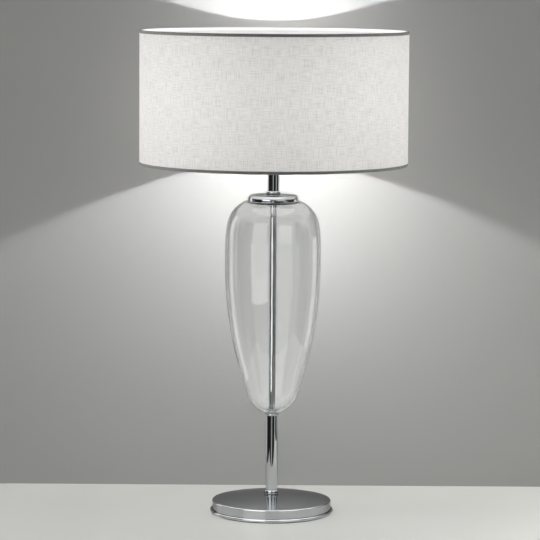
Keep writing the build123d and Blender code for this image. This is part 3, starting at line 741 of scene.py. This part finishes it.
class LAMP_OT_stem(bpy.types.Operator):
    """Makes the chrome stem: collars, tubes, glass seat and the rod through the glass"""

    bl_idname = "lamp.stem"
    bl_label = "Stem"

    def execute(self, context):
        stem = context.scene.lamp_stem
        hole = rod_hole(context.scene)
        tube = extent("lower_stem")[0]
        for name, node in (("foot_collar", "base_collar"), ("cap_ring", "cap_collar")):
            radius, bottom, top = extent(node)
            corners = cup(hole, radius, tube, bottom, bottom + stem.floor, top)
            add_piece(context, name, turned(corners, {1: stem.foot_bead, 2: stem.bead}), node)
        tubes = (
            ("lower_tube", "lower_stem", stem.tube_wall),
            ("upper_tube", "upper_stem", stem.tube_wall),
            ("threaded_rod", "tie_rod", stem.rod_wall),
        )
        for name, node, wall in tubes:
            radius, bottom, top = extent(node)
            corners = ring(radius - wall, radius, bottom, top)
            add_piece(context, name, turned(corners, {1: stem.lip, 2: stem.lip}), node)
        radius, bottom, top = extent("glass_seat")
        spigot = tube - stem.tube_wall - stem.lip / 2
        corners = stepped(hole, spigot, radius, bottom, top - stem.seat_height, top)
        seat = turned(corners, {3: stem.seat_bead, 4: stem.seat_bead})
        add_piece(context, "seat_ring", seat, "glass_seat")
        return {"FINISHED"}


class LAMP_OT_cap(bpy.types.Operator):
    """Makes the chrome cap on the glass and the disc that centres its mouth"""

    bl_idname = "lamp.cap"
    bl_label = "Cap"

    def execute(self, context):
        stem = context.scene.lamp_stem
        hole = rod_hole(context.scene)
        radius, bottom, top = extent("top_cap")
        bm = bmesh.new()
        corners = [(hole, top), (stem.cap_land, top), (radius, top - stem.cap_fall), (radius, bottom)]
        draw(bm, corners, {2: stem.cap_edge}, closed=False)
        revolve(bm)
        thicken(bm, stem.cap_wall)
        add_piece(context, "spun_cap", bm, "top_cap")
        radius, bottom, top = extent("glass_locator")
        corners = stepped(hole, stem.locator_mouth, radius, bottom, top - stem.locator_step, top)
        add_piece(context, "mouth_disc", turned(corners, {1: stem.seat_bead, 3: stem.lip}), "glass_locator")
        return {"FINISHED"}


class LAMP_OT_glass(bpy.types.Operator):
    """Makes the blown glass body and its two gaskets"""

    bl_idname = "lamp.glass"
    bl_label = "Glass body"

    # Radius and height above the foot, in mm, where the outline's arcs meet below the belly
    flank = [(64.0, 128.6), (51.0, 72.6), (39.0, 30.1), (26.3, 9.2)]
    # Radius and drop below the top, in mm, where the outline's arcs meet above the belly
    shoulder = [(71.3, 58.2), (68.4, 32.2), (52.5, 6.5)]

    def execute(self, context):
        glass = context.scene.lamp_glass
        radius, bottom, top = extent("glass_body")
        bm = bmesh.new()
        belly = bm.verts.new((radius, 0, bottom + glass.belly))
        below = [(r * MM, bottom + rise * MM) for r, rise in self.flank]
        above = [(r * MM, top - drop * MM) for r, drop in self.shoulder]
        foot = arcs_through(bm, belly, (0, -1), below + [(glass.foot, bottom)])
        land = arcs_through(bm, belly, (0, 1), above + [(glass.land, top)])
        line_on(bm, foot, glass.hole, bottom)
        line_on(bm, land, glass.mouth, top)
        revolve(bm)
        thicken(bm, glass.wall)
        add_piece(context, "glass_vessel", bm, "glass_body")
        soft = glass.gasket / 3
        radius, bottom, top = extent("lower_gasket")
        bush = glass.hole - context.scene.lamp_stem.rod_room
        corners = stepped(rod_hole(context.scene), radius, bush, bottom, bottom + glass.gasket, top)
        gasket = turned(corners, {1: soft, 2: soft, 4: soft})
        add_piece(context, "foot_gasket", gasket, "lower_gasket")
        gasket = turned(ring(glass.mouth, *extent("upper_gasket")), {1: soft, 2: soft})
        add_piece(context, "mouth_gasket", gasket, "upper_gasket")
        return {"FINISHED"}


class LAMP_OT_lampholder(bpy.types.Operator):
    """Makes the lampholder's threaded sleeve and cap, and the fluted ring nut on the sleeve"""

    bl_idname = "lamp.lampholder"
    bl_label = "Lampholder"

    flute_count = 18
    # Corners of one turn of the thread: distance from its root beside its depth, and rise beside its pitch
    thread_form = [(0, 0.2), (1, 0.45), (1, 0.65), (0, 0.9)]

    def execute(self, context):
        holder = context.scene.lamp_holder
        flange, bottom, top = extent("holder_sleeve")
        flange_top = extent("shade_nut")[1] - context.scene.lamp_shade.fitter_thickness
        flange_bottom = flange_top - holder.flange
        bore = holder.barrel - holder.wall
        root = holder.barrel - holder.thread
        lip = extent("screw_shell")[0] + holder.thread
        corners = [
            (bore, bottom),
            (holder.barrel, bottom),
            (holder.barrel, flange_bottom),
            (flange, flange_bottom),
            (flange, flange_top),
            (root, flange_top),
        ]
        for turn in range(int((top - flange_top) / holder.pitch)):
            for out, rise in self.thread_form:
                corners.append((root + out * holder.thread, flange_top + (turn + rise) * holder.pitch))
        corners += [(root, top), (lip, top), (lip, top - holder.wall), (bore, top - holder.wall)]
        sleeve = turned(corners, {3: holder.nut_edge, 4: holder.nut_edge})
        add_piece(context, "threaded_sleeve", sleeve, "holder_sleeve")
        self.ring_nut(context, holder)
        self.cap(context, holder)
        return {"FINISHED"}

    def ring_nut(self, context, holder):
        """Nut with grip flutes, which clamps the shade's fitter ring on the sleeve."""
        radius, bottom, top = extent("shade_nut")
        bore = holder.barrel + holder.thread / 2
        edges = {1: holder.nut_edge, 2: holder.nut_edge}
        nut = turned(ring(bore, radius, bottom, top), edges, 8 * self.flute_count)
        grip = [v for v in nut.verts if v.co.xy.length > (bore + radius) / 2]
        for vert in grip:
            angle = math.atan2(vert.co.y, vert.co.x)
            dip = holder.flute * max(0.0, math.cos(self.flute_count * angle)) ** 2
            vert.co.xy *= 1 - dip / vert.co.xy.length
        add_piece(context, "fluted_ring_nut", nut, "shade_nut")

    def cap(self, context, holder):
        """Moulded cup under the sleeve, with a hole in front for its locking screw."""
        radius, bottom, top = extent("holder_cap")
        bore = extent("tie_rod")[0]
        corners = cup(bore, radius, radius - 1.5 * holder.wall, bottom, bottom + 3 * holder.wall, top)
        cap = turned(corners, {1: holder.cap_edge, 2: holder.nut_edge / 2})
        cap = add_piece(context, "moulded_holder_cap", cap, "holder_cap")
        screw, low, high = extent("holder_lock_screw")
        height = (low + high) / 2
        bore_hole(context, cap, screw, (0, -radius, height), (0, -bore, height))


class LAMP_OT_bulb(bpy.types.Operator):
    """Makes the frosted bulb glass"""

    bl_idname = "lamp.bulb"
    bl_label = "Bulb"

    flare = (17.6, 19.0)      # radius, and rise above the neck, where the flare's two arcs meet, in mm
    join_angle = math.pi / 6  # below the middle of the head, where the flare meets it

    def execute(self, context):
        neck = context.scene.lamp_holder.neck
        radius, bottom, top = extent("bulb_envelope")
        neck_top = extent("holder_sleeve")[2]
        centre = (0, top - radius)
        join = (radius * math.cos(self.join_angle), centre[1] - radius * math.sin(self.join_angle))
        bm = bmesh.new()
        foot = bm.verts.new((0, 0, bottom))
        vert = line_on(bm, line_on(bm, foot, neck, bottom), neck, neck_top)
        middle = (self.flare[0] * MM, neck_top + self.flare[1] * MM)
        vert = arcs_through(bm, vert, (0, 1), [middle, join])
        arc_about(bm, vert, centre, math.pi / 2 + self.join_angle, 3 * ARC_STEPS)
        revolve(bm)
        globe = add_piece(context, "frosted_globe", bm, "bulb_envelope")
        globe.visible_shadow = False
        return {"FINISHED"}


class LAMP_OT_shade(bpy.types.Operator):
    """Makes the drum shade: lined linen panel with its rear seam, and the taped rims"""

    bl_idname = "lamp.shade"
    bl_label = "Shade"

    seam_columns = 2  # facets that the lapped seam covers

    def execute(self, context):
        shade = context.scene.lamp_shade
        bottom_tape = self.tape(context, "bottom_rim_tape", "bottom_tape", 1)
        top_tape = self.tape(context, "top_rim_tape", "top_tape", -1)
        radius = extent("shade_fabric")[0]
        bottom = extent("bottom_tape")[1] + shade.tuck
        top = extent("top_tape")[2] - shade.tuck
        bm = bmesh.new()
        line_on(bm, bm.verts.new((radius, 0, bottom)), radius, top)
        revolve(bm, FINE_STEPS)
        if sum(face.normal.dot(face.calc_center_median()) for face in bm.faces) < 0:
            bmesh.ops.reverse_faces(bm, faces=bm.faces)
        thicken(bm, shade.panel)
        for face in bm.faces:
            face.material_index = int(face.calc_center_median().xy.length < radius - shade.panel / 2)
        self.lap_seam(bm, radius, shade.seam)
        panel = add_piece(context, "lined_linen_panel", bm, "shade_fabric", "shade_liner")
        panel.data.materials.append(finish(context.scene, "white_liner"))
        return {"FINISHED"}

    def lap_seam(self, bm, radius, step):
        """Raises a narrow strip at the rear, where one edge of the linen laps over the other."""
        half = math.pi * self.seam_columns / FINE_STEPS
        strip = []
        for face in bm.faces:
            centre = face.calc_center_median()
            outside = face.material_index == 0 and face.normal.xy.dot(centre.xy.normalized()) > 0.9
            if outside and abs(math.atan2(centre.y, centre.x) - REAR) < half:
                strip.append(face)
        raised = bmesh.ops.extrude_face_region(bm, geom=strip)
        verts = [item for item in raised["geom"] if isinstance(item, bmesh.types.BMVert)]
        out = 1 + step / radius
        bmesh.ops.scale(bm, vec=(out, out, 1), verts=verts)

    def tape(self, context, name, node, up):
        """Cotton tape folded over a rim; up is 1 at the lower rim and -1 at the upper one."""
        shade = context.scene.lamp_shade
        outer, low, high = extent(node)
        fold, open_end = (low, high) if up > 0 else (high, low)
        wire, wire_bottom, wire_top = extent("bottom_ring")
        wall = shade.tape_thickness
        inner = wire - (wire_top - wire_bottom) - 2 * wall
        crease = fold + up * wall
        corners = [
            (outer, open_end),
            (outer, fold),
            (inner, fold),
            (inner, open_end),
            (inner + wall, open_end),
            (inner + wall, crease),
            (outer - wall, crease),
            (outer - wall, open_end),
        ]
        inner_fold = shade.fold - wall
        bm = turned(corners, {1: shade.fold, 2: shade.fold, 5: inner_fold, 6: inner_fold}, FINE_STEPS)
        return add_piece(context, name, bm, node)


class LAMP_OT_carrier(bpy.types.Operator):
    """Makes the welded carrier: fitter ring and three wire arms"""

    bl_idname = "lamp.carrier"
    bl_label = "Shade carrier"

    arm_count = 3
    arm_steps = 20    # facets round an arm and a weld bead
    bead_steps = 12   # facets along a weld bead
    bead_form = 0.75  # width of a weld bead beside its length

    def execute(self, context):
        shade = context.scene.lamp_shade
        top = extent("shade_nut")[1]
        bottom = top - shade.fitter_thickness
        soft = shade.fitter_thickness / 4
        corners = ring(shade.fitter_bore, shade.fitter, bottom, top)
        bm = turned(corners, {index: soft for index in range(4)})
        ring_radius, ring_bottom, ring_top = extent("bottom_ring")
        wire = (ring_top - ring_bottom) / 2
        start = Vector((shade.fitter - shade.fitter_thickness, 0, bottom + shade.fitter_thickness / 2))
        end = Vector((ring_radius - wire, 0, ring_bottom + wire))
        path = end - start
        lie = path.to_track_quat("Z", "Y").to_matrix().to_4x4()
        bead = Matrix.Diagonal((self.bead_form, self.bead_form, 1.0, 1.0))
        for number in range(self.arm_count):
            swing = Matrix.Rotation(REAR + number * 2 * math.pi / self.arm_count, 4, "Z")
            bmesh.ops.create_cone(
                bm,
                cap_ends=True,
                segments=self.arm_steps,
                radius1=shade.arm,
                radius2=shade.arm,
                depth=path.length,
                matrix=swing @ Matrix.Translation((start + end) / 2) @ lie,
            )
            for place in (start, end):
                bmesh.ops.create_uvsphere(
                    bm,
                    u_segments=self.arm_steps,
                    v_segments=self.bead_steps,
                    radius=shade.weld,
                    matrix=swing @ Matrix.Translation(place) @ lie @ bead,
                )
        add_piece(context, "welded_carrier", bm, "shade_carrier")
        return {"FINISHED"}


class LAMP_OT_inner_pieces(bpy.types.Operator):
    """Gives the pieces inside the base, the rod, the lampholder and the bulb their finishes"""

    bl_idname = "lamp.inner_pieces"
    bl_label = "Inner pieces"

    def execute(self, context):
        for node, piece in frame["nodes"].items():
            for holder in piece.material_slots:
                holder.material = finish(context.scene, slot_of[node])
        return {"FINISHED"}


class LAMP_OT_stage(bpy.types.Operator):
    """Adds the floor, the backdrop, the soft lights and the camera"""

    bl_idname = "lamp.stage"
    bl_label = "Stage"

    room = 12.0                 # metres from the lamp to the ends of the floor and the backdrop
    layer = 0.0002              # metres between two sheets that lie on each other
    aim = (0, 0, 0.4)           # place on the lamp that the softboxes face, in metres
    floor_gloss = 0.12          # share of the floor's light that it mirrors, blurred, beside the lamp
    gloss_reach = (0.24, 0.42)  # metres from the axis where that shine starts to fade and where it ends
    fade_reach = (0.9, 2.4)     # metres from the axis where the floor starts and ends its fade to background
    # Corners in metres of the part of the floor and of the backdrop that metal and glass mirror
    near_floor = ((-0.42, -0.39), (0.63, 0.6))
    near_wall = ((-0.28, 0.0), (0.28, 1.4))
    # Upright card at the left that only metal and glass mirror: place of its foot, turn in degrees, width
    # and height in metres, and brightness beside white
    card_foot = (-0.6, -0.95)
    card_turn = 32
    card_size = (0.86, 0.385)
    card_level = 2.1
    # Name, place of the centre, width and height in metres, brightness beside white, and the pieces that the
    # light falls on alone, or none where it falls on everything
    softboxes = [
        ("left_softbox", (-1.8, -0.2, 0.9), 1.0, 1.8, 3.8, []),
        ("right_softbox", (1.8, -0.2, 0.9), 1.0, 1.8, 2.6, []),
        ("top_softbox", (0.0, -0.9, 2.4), 1.6, 1.2, 0.3, []),
        ("front_softbox", (0.0, -3.0, 0.7), 1.6, 1.2, 3.5, ["lined_linen_panel"]),
    ]
    # Pieces that cut off the bulb's light on the floor and the backdrop
    shade_pieces = ["lined_linen_panel", "bottom_rim_tape", "top_rim_tape"]
    # Lights on the floor or backdrop alone, beside the bulb's own: name, sheet, place in metres and power
    pools = [
        ("upper_pool", "backdrop", (0.02, 0.09, 0.74), 0.6),
        ("lower_pool", "backdrop", (0.03, -0.02, 0.42), 1.2),
        ("right_pool", "backdrop", (0.5, -0.35, 0.0), 0.9),
        ("side_pool", "floor", (0.9, -0.3, 0.5), 12.0),
    ]
    # Painted light on the backdrop: how much brighter it looks through glass, and the heights in metres
    # where that starts to fade and where it ends
    lift = 0.26
    lift_heights = (0.14, 0.44)
    # What metal and glass mirror of the studio, in bands from the floor up: height of the view direction
    # where the band starts and where it is full, brightness, and a table of degrees round from the camera's
    # side with the share of that brightness
    bands = [
        (-1.0, -0.9, 1.6, [
            (-134, 0.02), (-130, 0.9), (-116, 0.9), (-112, 0.15), (-98, 0.15), (-92, 0.01), (-26, 0.01),
            (-21, 0.08), (-5, 0.08), (-2.5, 0.7), (1, 0.7), (3, 0.01), (46, 0.01), (51, 0.35), (64, 0.35),
            (70, 0.03), (108, 0.03), (114, 0.8), (130, 0.8), (134, 0.02),
        ]),
        (-0.045, -0.01, 2.1, [
            (-134, 0.02), (-130, 0.8), (-118, 0.8), (-112, 0.02), (-54, 0.02), (-48, 1.0), (-18, 1.0),
            (-12, 0.1), (14, 0.1), (18, 0.35), (54, 0.35), (58, 0.02), (100, 0.02), (106, 0.15), (130, 0.15),
            (134, 0.02),
        ]),
        (0.1, 0.3, 2.1, [
            (-134, 0.02), (-130, 0.8), (-118, 0.8), (-112, 0.3), (-80, 0.3), (-77, 0.02), (-54, 0.02),
            (-48, 1.0), (-18, 1.0), (-12, 0.12), (14, 0.12), (18, 0.55), (54, 0.55), (58, 0.02), (74, 0.02),
            (78, 0.5), (98, 0.5), (104, 0.15), (130, 0.15), (134, 0.02),
        ]),
        (0.35, 0.9, 1.9, [(0, 1.0)]),
    ]

    def execute(self, context):
        stage = context.scene.lamp_stage
        everywhere = ((-self.room, -self.room), (self.room, self.room))
        upright = Matrix.Rotation(math.pi / 2, 4, "X")
        to_wall = Matrix.Translation((0, stage.wall_distance, 0)) @ upright
        under = Matrix.Translation((0, 0, -self.layer))
        floor_paint = self.floor_paint(stage)
        wall_paint = self.wall_paint("plain_backdrop_paint", stage.wall)
        # The near backdrop carries painted light, a glow that shows only through glass
        backdrop_with_painted_glow = self.wall_paint("backdrop_paint_with_painted_glow", stage.wall, self.lift)
        near = [
            self.sheet(context, "floor", floor_paint, self.near_floor, Matrix()),
            self.sheet(context, "backdrop", backdrop_with_painted_glow, self.near_wall, to_wall),
        ]
        far = [
            self.sheet(context, "far_floor", floor_paint, everywhere, under),
            self.sheet(context, "far_backdrop", wall_paint, everywhere, to_wall @ under),
        ]
        for backing in far:
            backing.visible_glossy = backing.visible_transmission = False
        self.mirrored_card(context, upright)
        self.world(context)
        self.lights(context, stage, near + far)
        self.camera(context, stage)
        context.scene.view_settings.view_transform = "Standard"
        return {"FINISHED"}

    def one_sided(self, tree, front):
        """Shows a paint from its front only, so that views from behind look through it."""
        sides = add(tree, "ShaderNodeNewGeometry")
        clear = add(tree, "ShaderNodeBsdfTransparent")
        paint = add(tree, "ShaderNodeMixShader", {"Fac": sides.outputs["Backfacing"], 1: front, 2: clear})
        add(tree, "ShaderNodeOutputMaterial", {"Surface": paint})

    def floor_paint(self, stage):
        """Pale paint with a blurred shine beside the lamp; far off, the camera sees background instead."""
        material, tree = seen_only("pale_floor_paint")
        place = add(tree, "ShaderNodeTexCoord")
        away = add(tree, "ShaderNodeVectorMath", {0: place.outputs["Object"]}, operation="LENGTH")
        low, high = self.gloss_reach
        reach = {"Value": away, "From Min": low, "From Max": high, "To Min": self.floor_gloss, "To Max": 0.0}
        shine = add(tree, "ShaderNodeMapRange", reach)
        matt = add(tree, "ShaderNodeBsdfDiffuse", {"Color": stage.floor})
        mirror = add(tree, "ShaderNodeBsdfGlossy", {"Roughness": 0.22})
        near = add(tree, "ShaderNodeMixShader", {"Fac": shine, 1: matt, 2: mirror})
        low, high = self.fade_reach
        fade = add(tree, "ShaderNodeMapRange", {"Value": away, "From Min": low, "From Max": high})
        path = add(tree, "ShaderNodeLightPath")
        seen = {0: fade, 1: path.outputs["Is Camera Ray"]}
        faded = add(tree, "ShaderNodeMath", seen, operation="MULTIPLY")
        beyond = add(tree, "ShaderNodeEmission", {"Color": stage.background})
        self.one_sided(tree, add(tree, "ShaderNodeMixShader", {"Fac": faded, 1: near, 2: beyond}))
        return material

    def wall_paint(self, name, paint_colour, lift=0.0):
        """Matt paint of the backdrop; lift adds painted light, a glow that makes it look brighter through
        glass.
        """
        material, tree = seen_only(name)
        front = add(tree, "ShaderNodeBsdfDiffuse", {"Color": paint_colour})
        if lift:
            front = add(tree, "ShaderNodeAddShader", {0: front, 1: self.painted_glow(tree, lift)})
        self.one_sided(tree, front)
        return material

    def painted_glow(self, tree, lift):
        """Painted light on the backdrop: a glow that only shows through glass, and fades out upwards."""
        place = add(tree, "ShaderNodeTexCoord")
        axes = add(tree, "ShaderNodeSeparateXYZ", {"Vector": place.outputs["Object"]})
        low, high = self.lift_heights
        height = axes.outputs["Z"]
        reach = {"Value": height, "From Min": low, "From Max": high, "To Min": lift, "To Max": 0.0}
        fade = add(tree, "ShaderNodeMapRange", reach)
        path = add(tree, "ShaderNodeLightPath")
        seen = {0: fade, 1: path.outputs["Is Transmission Ray"]}
        strength = add(tree, "ShaderNodeMath", seen, operation="MULTIPLY")
        return add(tree, "ShaderNodeEmission", {"Strength": strength})

    def sheet(self, context, name, paint, corners, lie):
        """Flat sheet between two corners of a plane."""
        low, high = (Vector(corner) for corner in corners)
        middle = Matrix.Translation(((low + high) / 2).to_3d())
        shape = Matrix.Diagonal((*(high - low) / 2, 1, 1))
        bm = bmesh.new()
        bmesh.ops.create_grid(bm, x_segments=1, y_segments=1, size=1, matrix=lie @ middle @ shape)
        backing = in_scene(context, name, as_mesh(name, bm))
        backing.data.materials.append(paint)
        return backing

    def mirrored_card(self, context, upright):
        """White card that stands on the floor at the left, seen only in metal and glass."""
        material, tree = seen_only("white_card")
        white = add(tree, "ShaderNodeEmission", {"Strength": self.card_level})
        add(tree, "ShaderNodeOutputMaterial", {"Surface": white})
        width, height = self.card_size
        swing = Matrix.Rotation(-math.radians(self.card_turn), 4, "Z")
        lie = Matrix.Translation((*self.card_foot, 0)) @ swing @ upright
        card = self.sheet(context, "mirrored_card", material, ((-width / 2, 0), (width / 2, height)), lie)
        card.visible_camera = card.visible_diffuse = card.visible_shadow = False

    def screens(self, tree, turn, levels):
        """Brightness round the lamp from a table of degrees and levels."""
        ramp = add(tree, "ShaderNodeValToRGB", {"Fac": turn})
        stops = ramp.color_ramp.elements
        stops.remove(stops[1])
        for degrees, level in levels:
            stops.new(0.5 + degrees / 360).color = (level, level, level, 1)
        stops.remove(stops[0])
        return ramp

    def world(self, context):
        """Even fill light; metal and glass see bright screens and dark gaps, the camera a background."""
        world = bpy.data.worlds.new("studio")
        world.use_nodes = True
        tree = world.node_tree
        tree.nodes.clear()
        height, angle = round_from_front(tree)
        turns = {"Value": angle, "From Min": -math.pi, "From Max": math.pi}
        turn = add(tree, "ShaderNodeMapRange", turns)
        studio = add(tree, "ShaderNodeBackground", {"Color": linear("#000000")})
        for low, high, level, shares in self.bands:
            around = self.screens(tree, turn, shares)
            screen = add(tree, "ShaderNodeBackground", {"Color": around, "Strength": level})
            rise = add(tree, "ShaderNodeMapRange", {"Value": height, "From Min": low, "From Max": high})
            studio = add(tree, "ShaderNodeMixShader", {"Fac": rise, 1: studio, 2: screen})
        fill = add(tree, "ShaderNodeBackground", {"Color": linear("#B4B4B4"), "Strength": 0.25})
        path = add(tree, "ShaderNodeLightPath")
        rays = {0: path.outputs["Is Glossy Ray"], 1: path.outputs["Is Transmission Ray"]}
        mirrored = add(tree, "ShaderNodeMath", rays, operation="MAXIMUM")
        light = add(tree, "ShaderNodeMixShader", {"Fac": mirrored, 1: fill, 2: studio})
        beyond = add(tree, "ShaderNodeBackground", {"Color": context.scene.lamp_stage.background})
        seen = {"Fac": path.outputs["Is Camera Ray"], 1: light, 2: beyond}
        shown = add(tree, "ShaderNodeMixShader", seen)
        add(tree, "ShaderNodeOutputWorld", {"Surface": shown})
        context.scene.world = world

    def lights(self, context, stage, sheets):
        """Softboxes, the bulb's own light, and the lights on the floor and the backdrop alone."""
        named = bpy.data.objects
        for name, place, width, height, brightness, pieces in self.softboxes:
            lit = [named[piece] for piece in pieces]
            self.softbox(context, name, Vector(place), width, height, brightness, lit)
        radius, _, top = extent("bulb_envelope")
        bulb = (0, 0, top - radius)
        self.glow(context, "bulb_light", bulb, stage.bulb_power, radius)
        shade = [named[piece] for piece in self.shade_pieces]
        self.glow(context, "backdrop_glow", bulb, stage.backdrop_glow, radius / 3, sheets, shade)
        for name, sheet, place, power in self.pools:
            lit = [backing for backing in sheets if backing.name.endswith(sheet)]
            self.glow(context, name, place, power, radius, lit, [named[sheet]])

    def softbox(self, context, name, place, width, height, brightness, lit):
        """Large soft light that faces the lamp; the world gives what bright metal shows of the studio."""
        box = self.light(context, name, "AREA", brightness * math.pi * width * height, lit)
        box.data.shape = "RECTANGLE"
        box.data.size = width
        box.data.size_y = height
        facing = (Vector(self.aim) - place).to_track_quat("-Z", "Y")
        box.matrix_world = Matrix.Translation(place) @ facing.to_matrix().to_4x4()

    def glow(self, context, name, place, power, radius, lit=(), blockers=()):
        """Round light; with blockers, they alone cut it off."""
        glow = self.light(context, name, "POINT", power, lit)
        glow.data.shadow_soft_size = radius
        glow.location = place
        if blockers:
            glow.light_linking.blocker_collection = self.group("blocks_" + name, blockers)

    def light(self, context, name, kind, power, lit):
        """Light that isn't seen itself; with pieces to light, it falls on them alone."""
        data = bpy.data.lights.new(name, kind)
        data.energy = power
        light = in_scene(context, name, data)
        light.visible_camera = light.visible_glossy = light.visible_transmission = False
        if lit:
            light.light_linking.receiver_collection = self.group("lit_by_" + name, lit)
        return light

    def group(self, name, pieces):
        """Collection of the pieces that a light tells apart."""
        chosen = bpy.data.collections.new(name)
        for piece in pieces:
            chosen.objects.link(piece)
        return chosen

    def camera(self, context, stage):
        """Camera at the viewing angle of the reference: a little higher than the lamp, looking down."""
        data = bpy.data.cameras.new("camera")
        data.lens = stage.lens
        data.sensor_width = 36
        camera = in_scene(context, "camera", data)
        forward = Vector((0, math.cos(stage.pitch), -math.sin(stage.pitch)))
        right = Vector((1, 0, 0))
        facing = Matrix((right, right.cross(forward), -forward)).transposed().to_4x4()
        roll = Matrix.Rotation(stage.roll, 4, "Z")
        camera.matrix_world = Matrix.Translation(stage.camera) @ facing @ roll
        context.scene.camera = camera


class LAMP_PT_lamp(bpy.types.Panel):
    """Lists the lamp's settings and the operators that make its pieces"""

    bl_idname = "LAMP_PT_lamp"
    bl_label = "Table lamp"
    bl_space_type = "VIEW_3D"
    bl_region_type = "UI"
    bl_category = "Lamp"

    def draw(self, context):
        for group in setting_groups:
            box = self.layout.box()
            settings = getattr(context.scene, group)
            for name in settings.__annotations__:
                box.prop(settings, name)
        for operator in operators:
            self.layout.operator(operator.bl_idname)


setting_groups = {
    "lamp_base": LampBase,
    "lamp_stem": LampStem,
    "lamp_glass": LampGlass,
    "lamp_holder": LampHolder,
    "lamp_shade": LampShade,
    "lamp_stage": LampStage,
}
operators = [
    LAMP_OT_base,
    LAMP_OT_stem,
    LAMP_OT_cap,
    LAMP_OT_glass,
    LAMP_OT_lampholder,
    LAMP_OT_bulb,
    LAMP_OT_shade,
    LAMP_OT_carrier,
    LAMP_OT_inner_pieces,
    LAMP_OT_stage,
]


def register():
    for group, settings in setting_groups.items():
        bpy.utils.register_class(settings)
        setattr(bpy.types.Scene, group, bpy.props.PointerProperty(type=settings))
    for operator in operators:
        bpy.utils.register_class(operator)
    bpy.utils.register_class(LAMP_PT_lamp)


def unregister():
    bpy.utils.unregister_class(LAMP_PT_lamp)
    for operator in reversed(operators):
        bpy.utils.unregister_class(operator)
    for group, settings in setting_groups.items():
        delattr(bpy.types.Scene, group)
        bpy.utils.unregister_class(settings)


def main():
    register()
    bpy.ops.lamp.base()
    bpy.ops.lamp.stem()
    bpy.ops.lamp.cap()
    bpy.ops.lamp.glass()
    bpy.ops.lamp.lampholder()
    bpy.ops.lamp.bulb()
    bpy.ops.lamp.shade()
    bpy.ops.lamp.carrier()
    bpy.ops.lamp.inner_pieces()
    bpy.ops.lamp.stage()


if __name__ == "__main__":
    main()
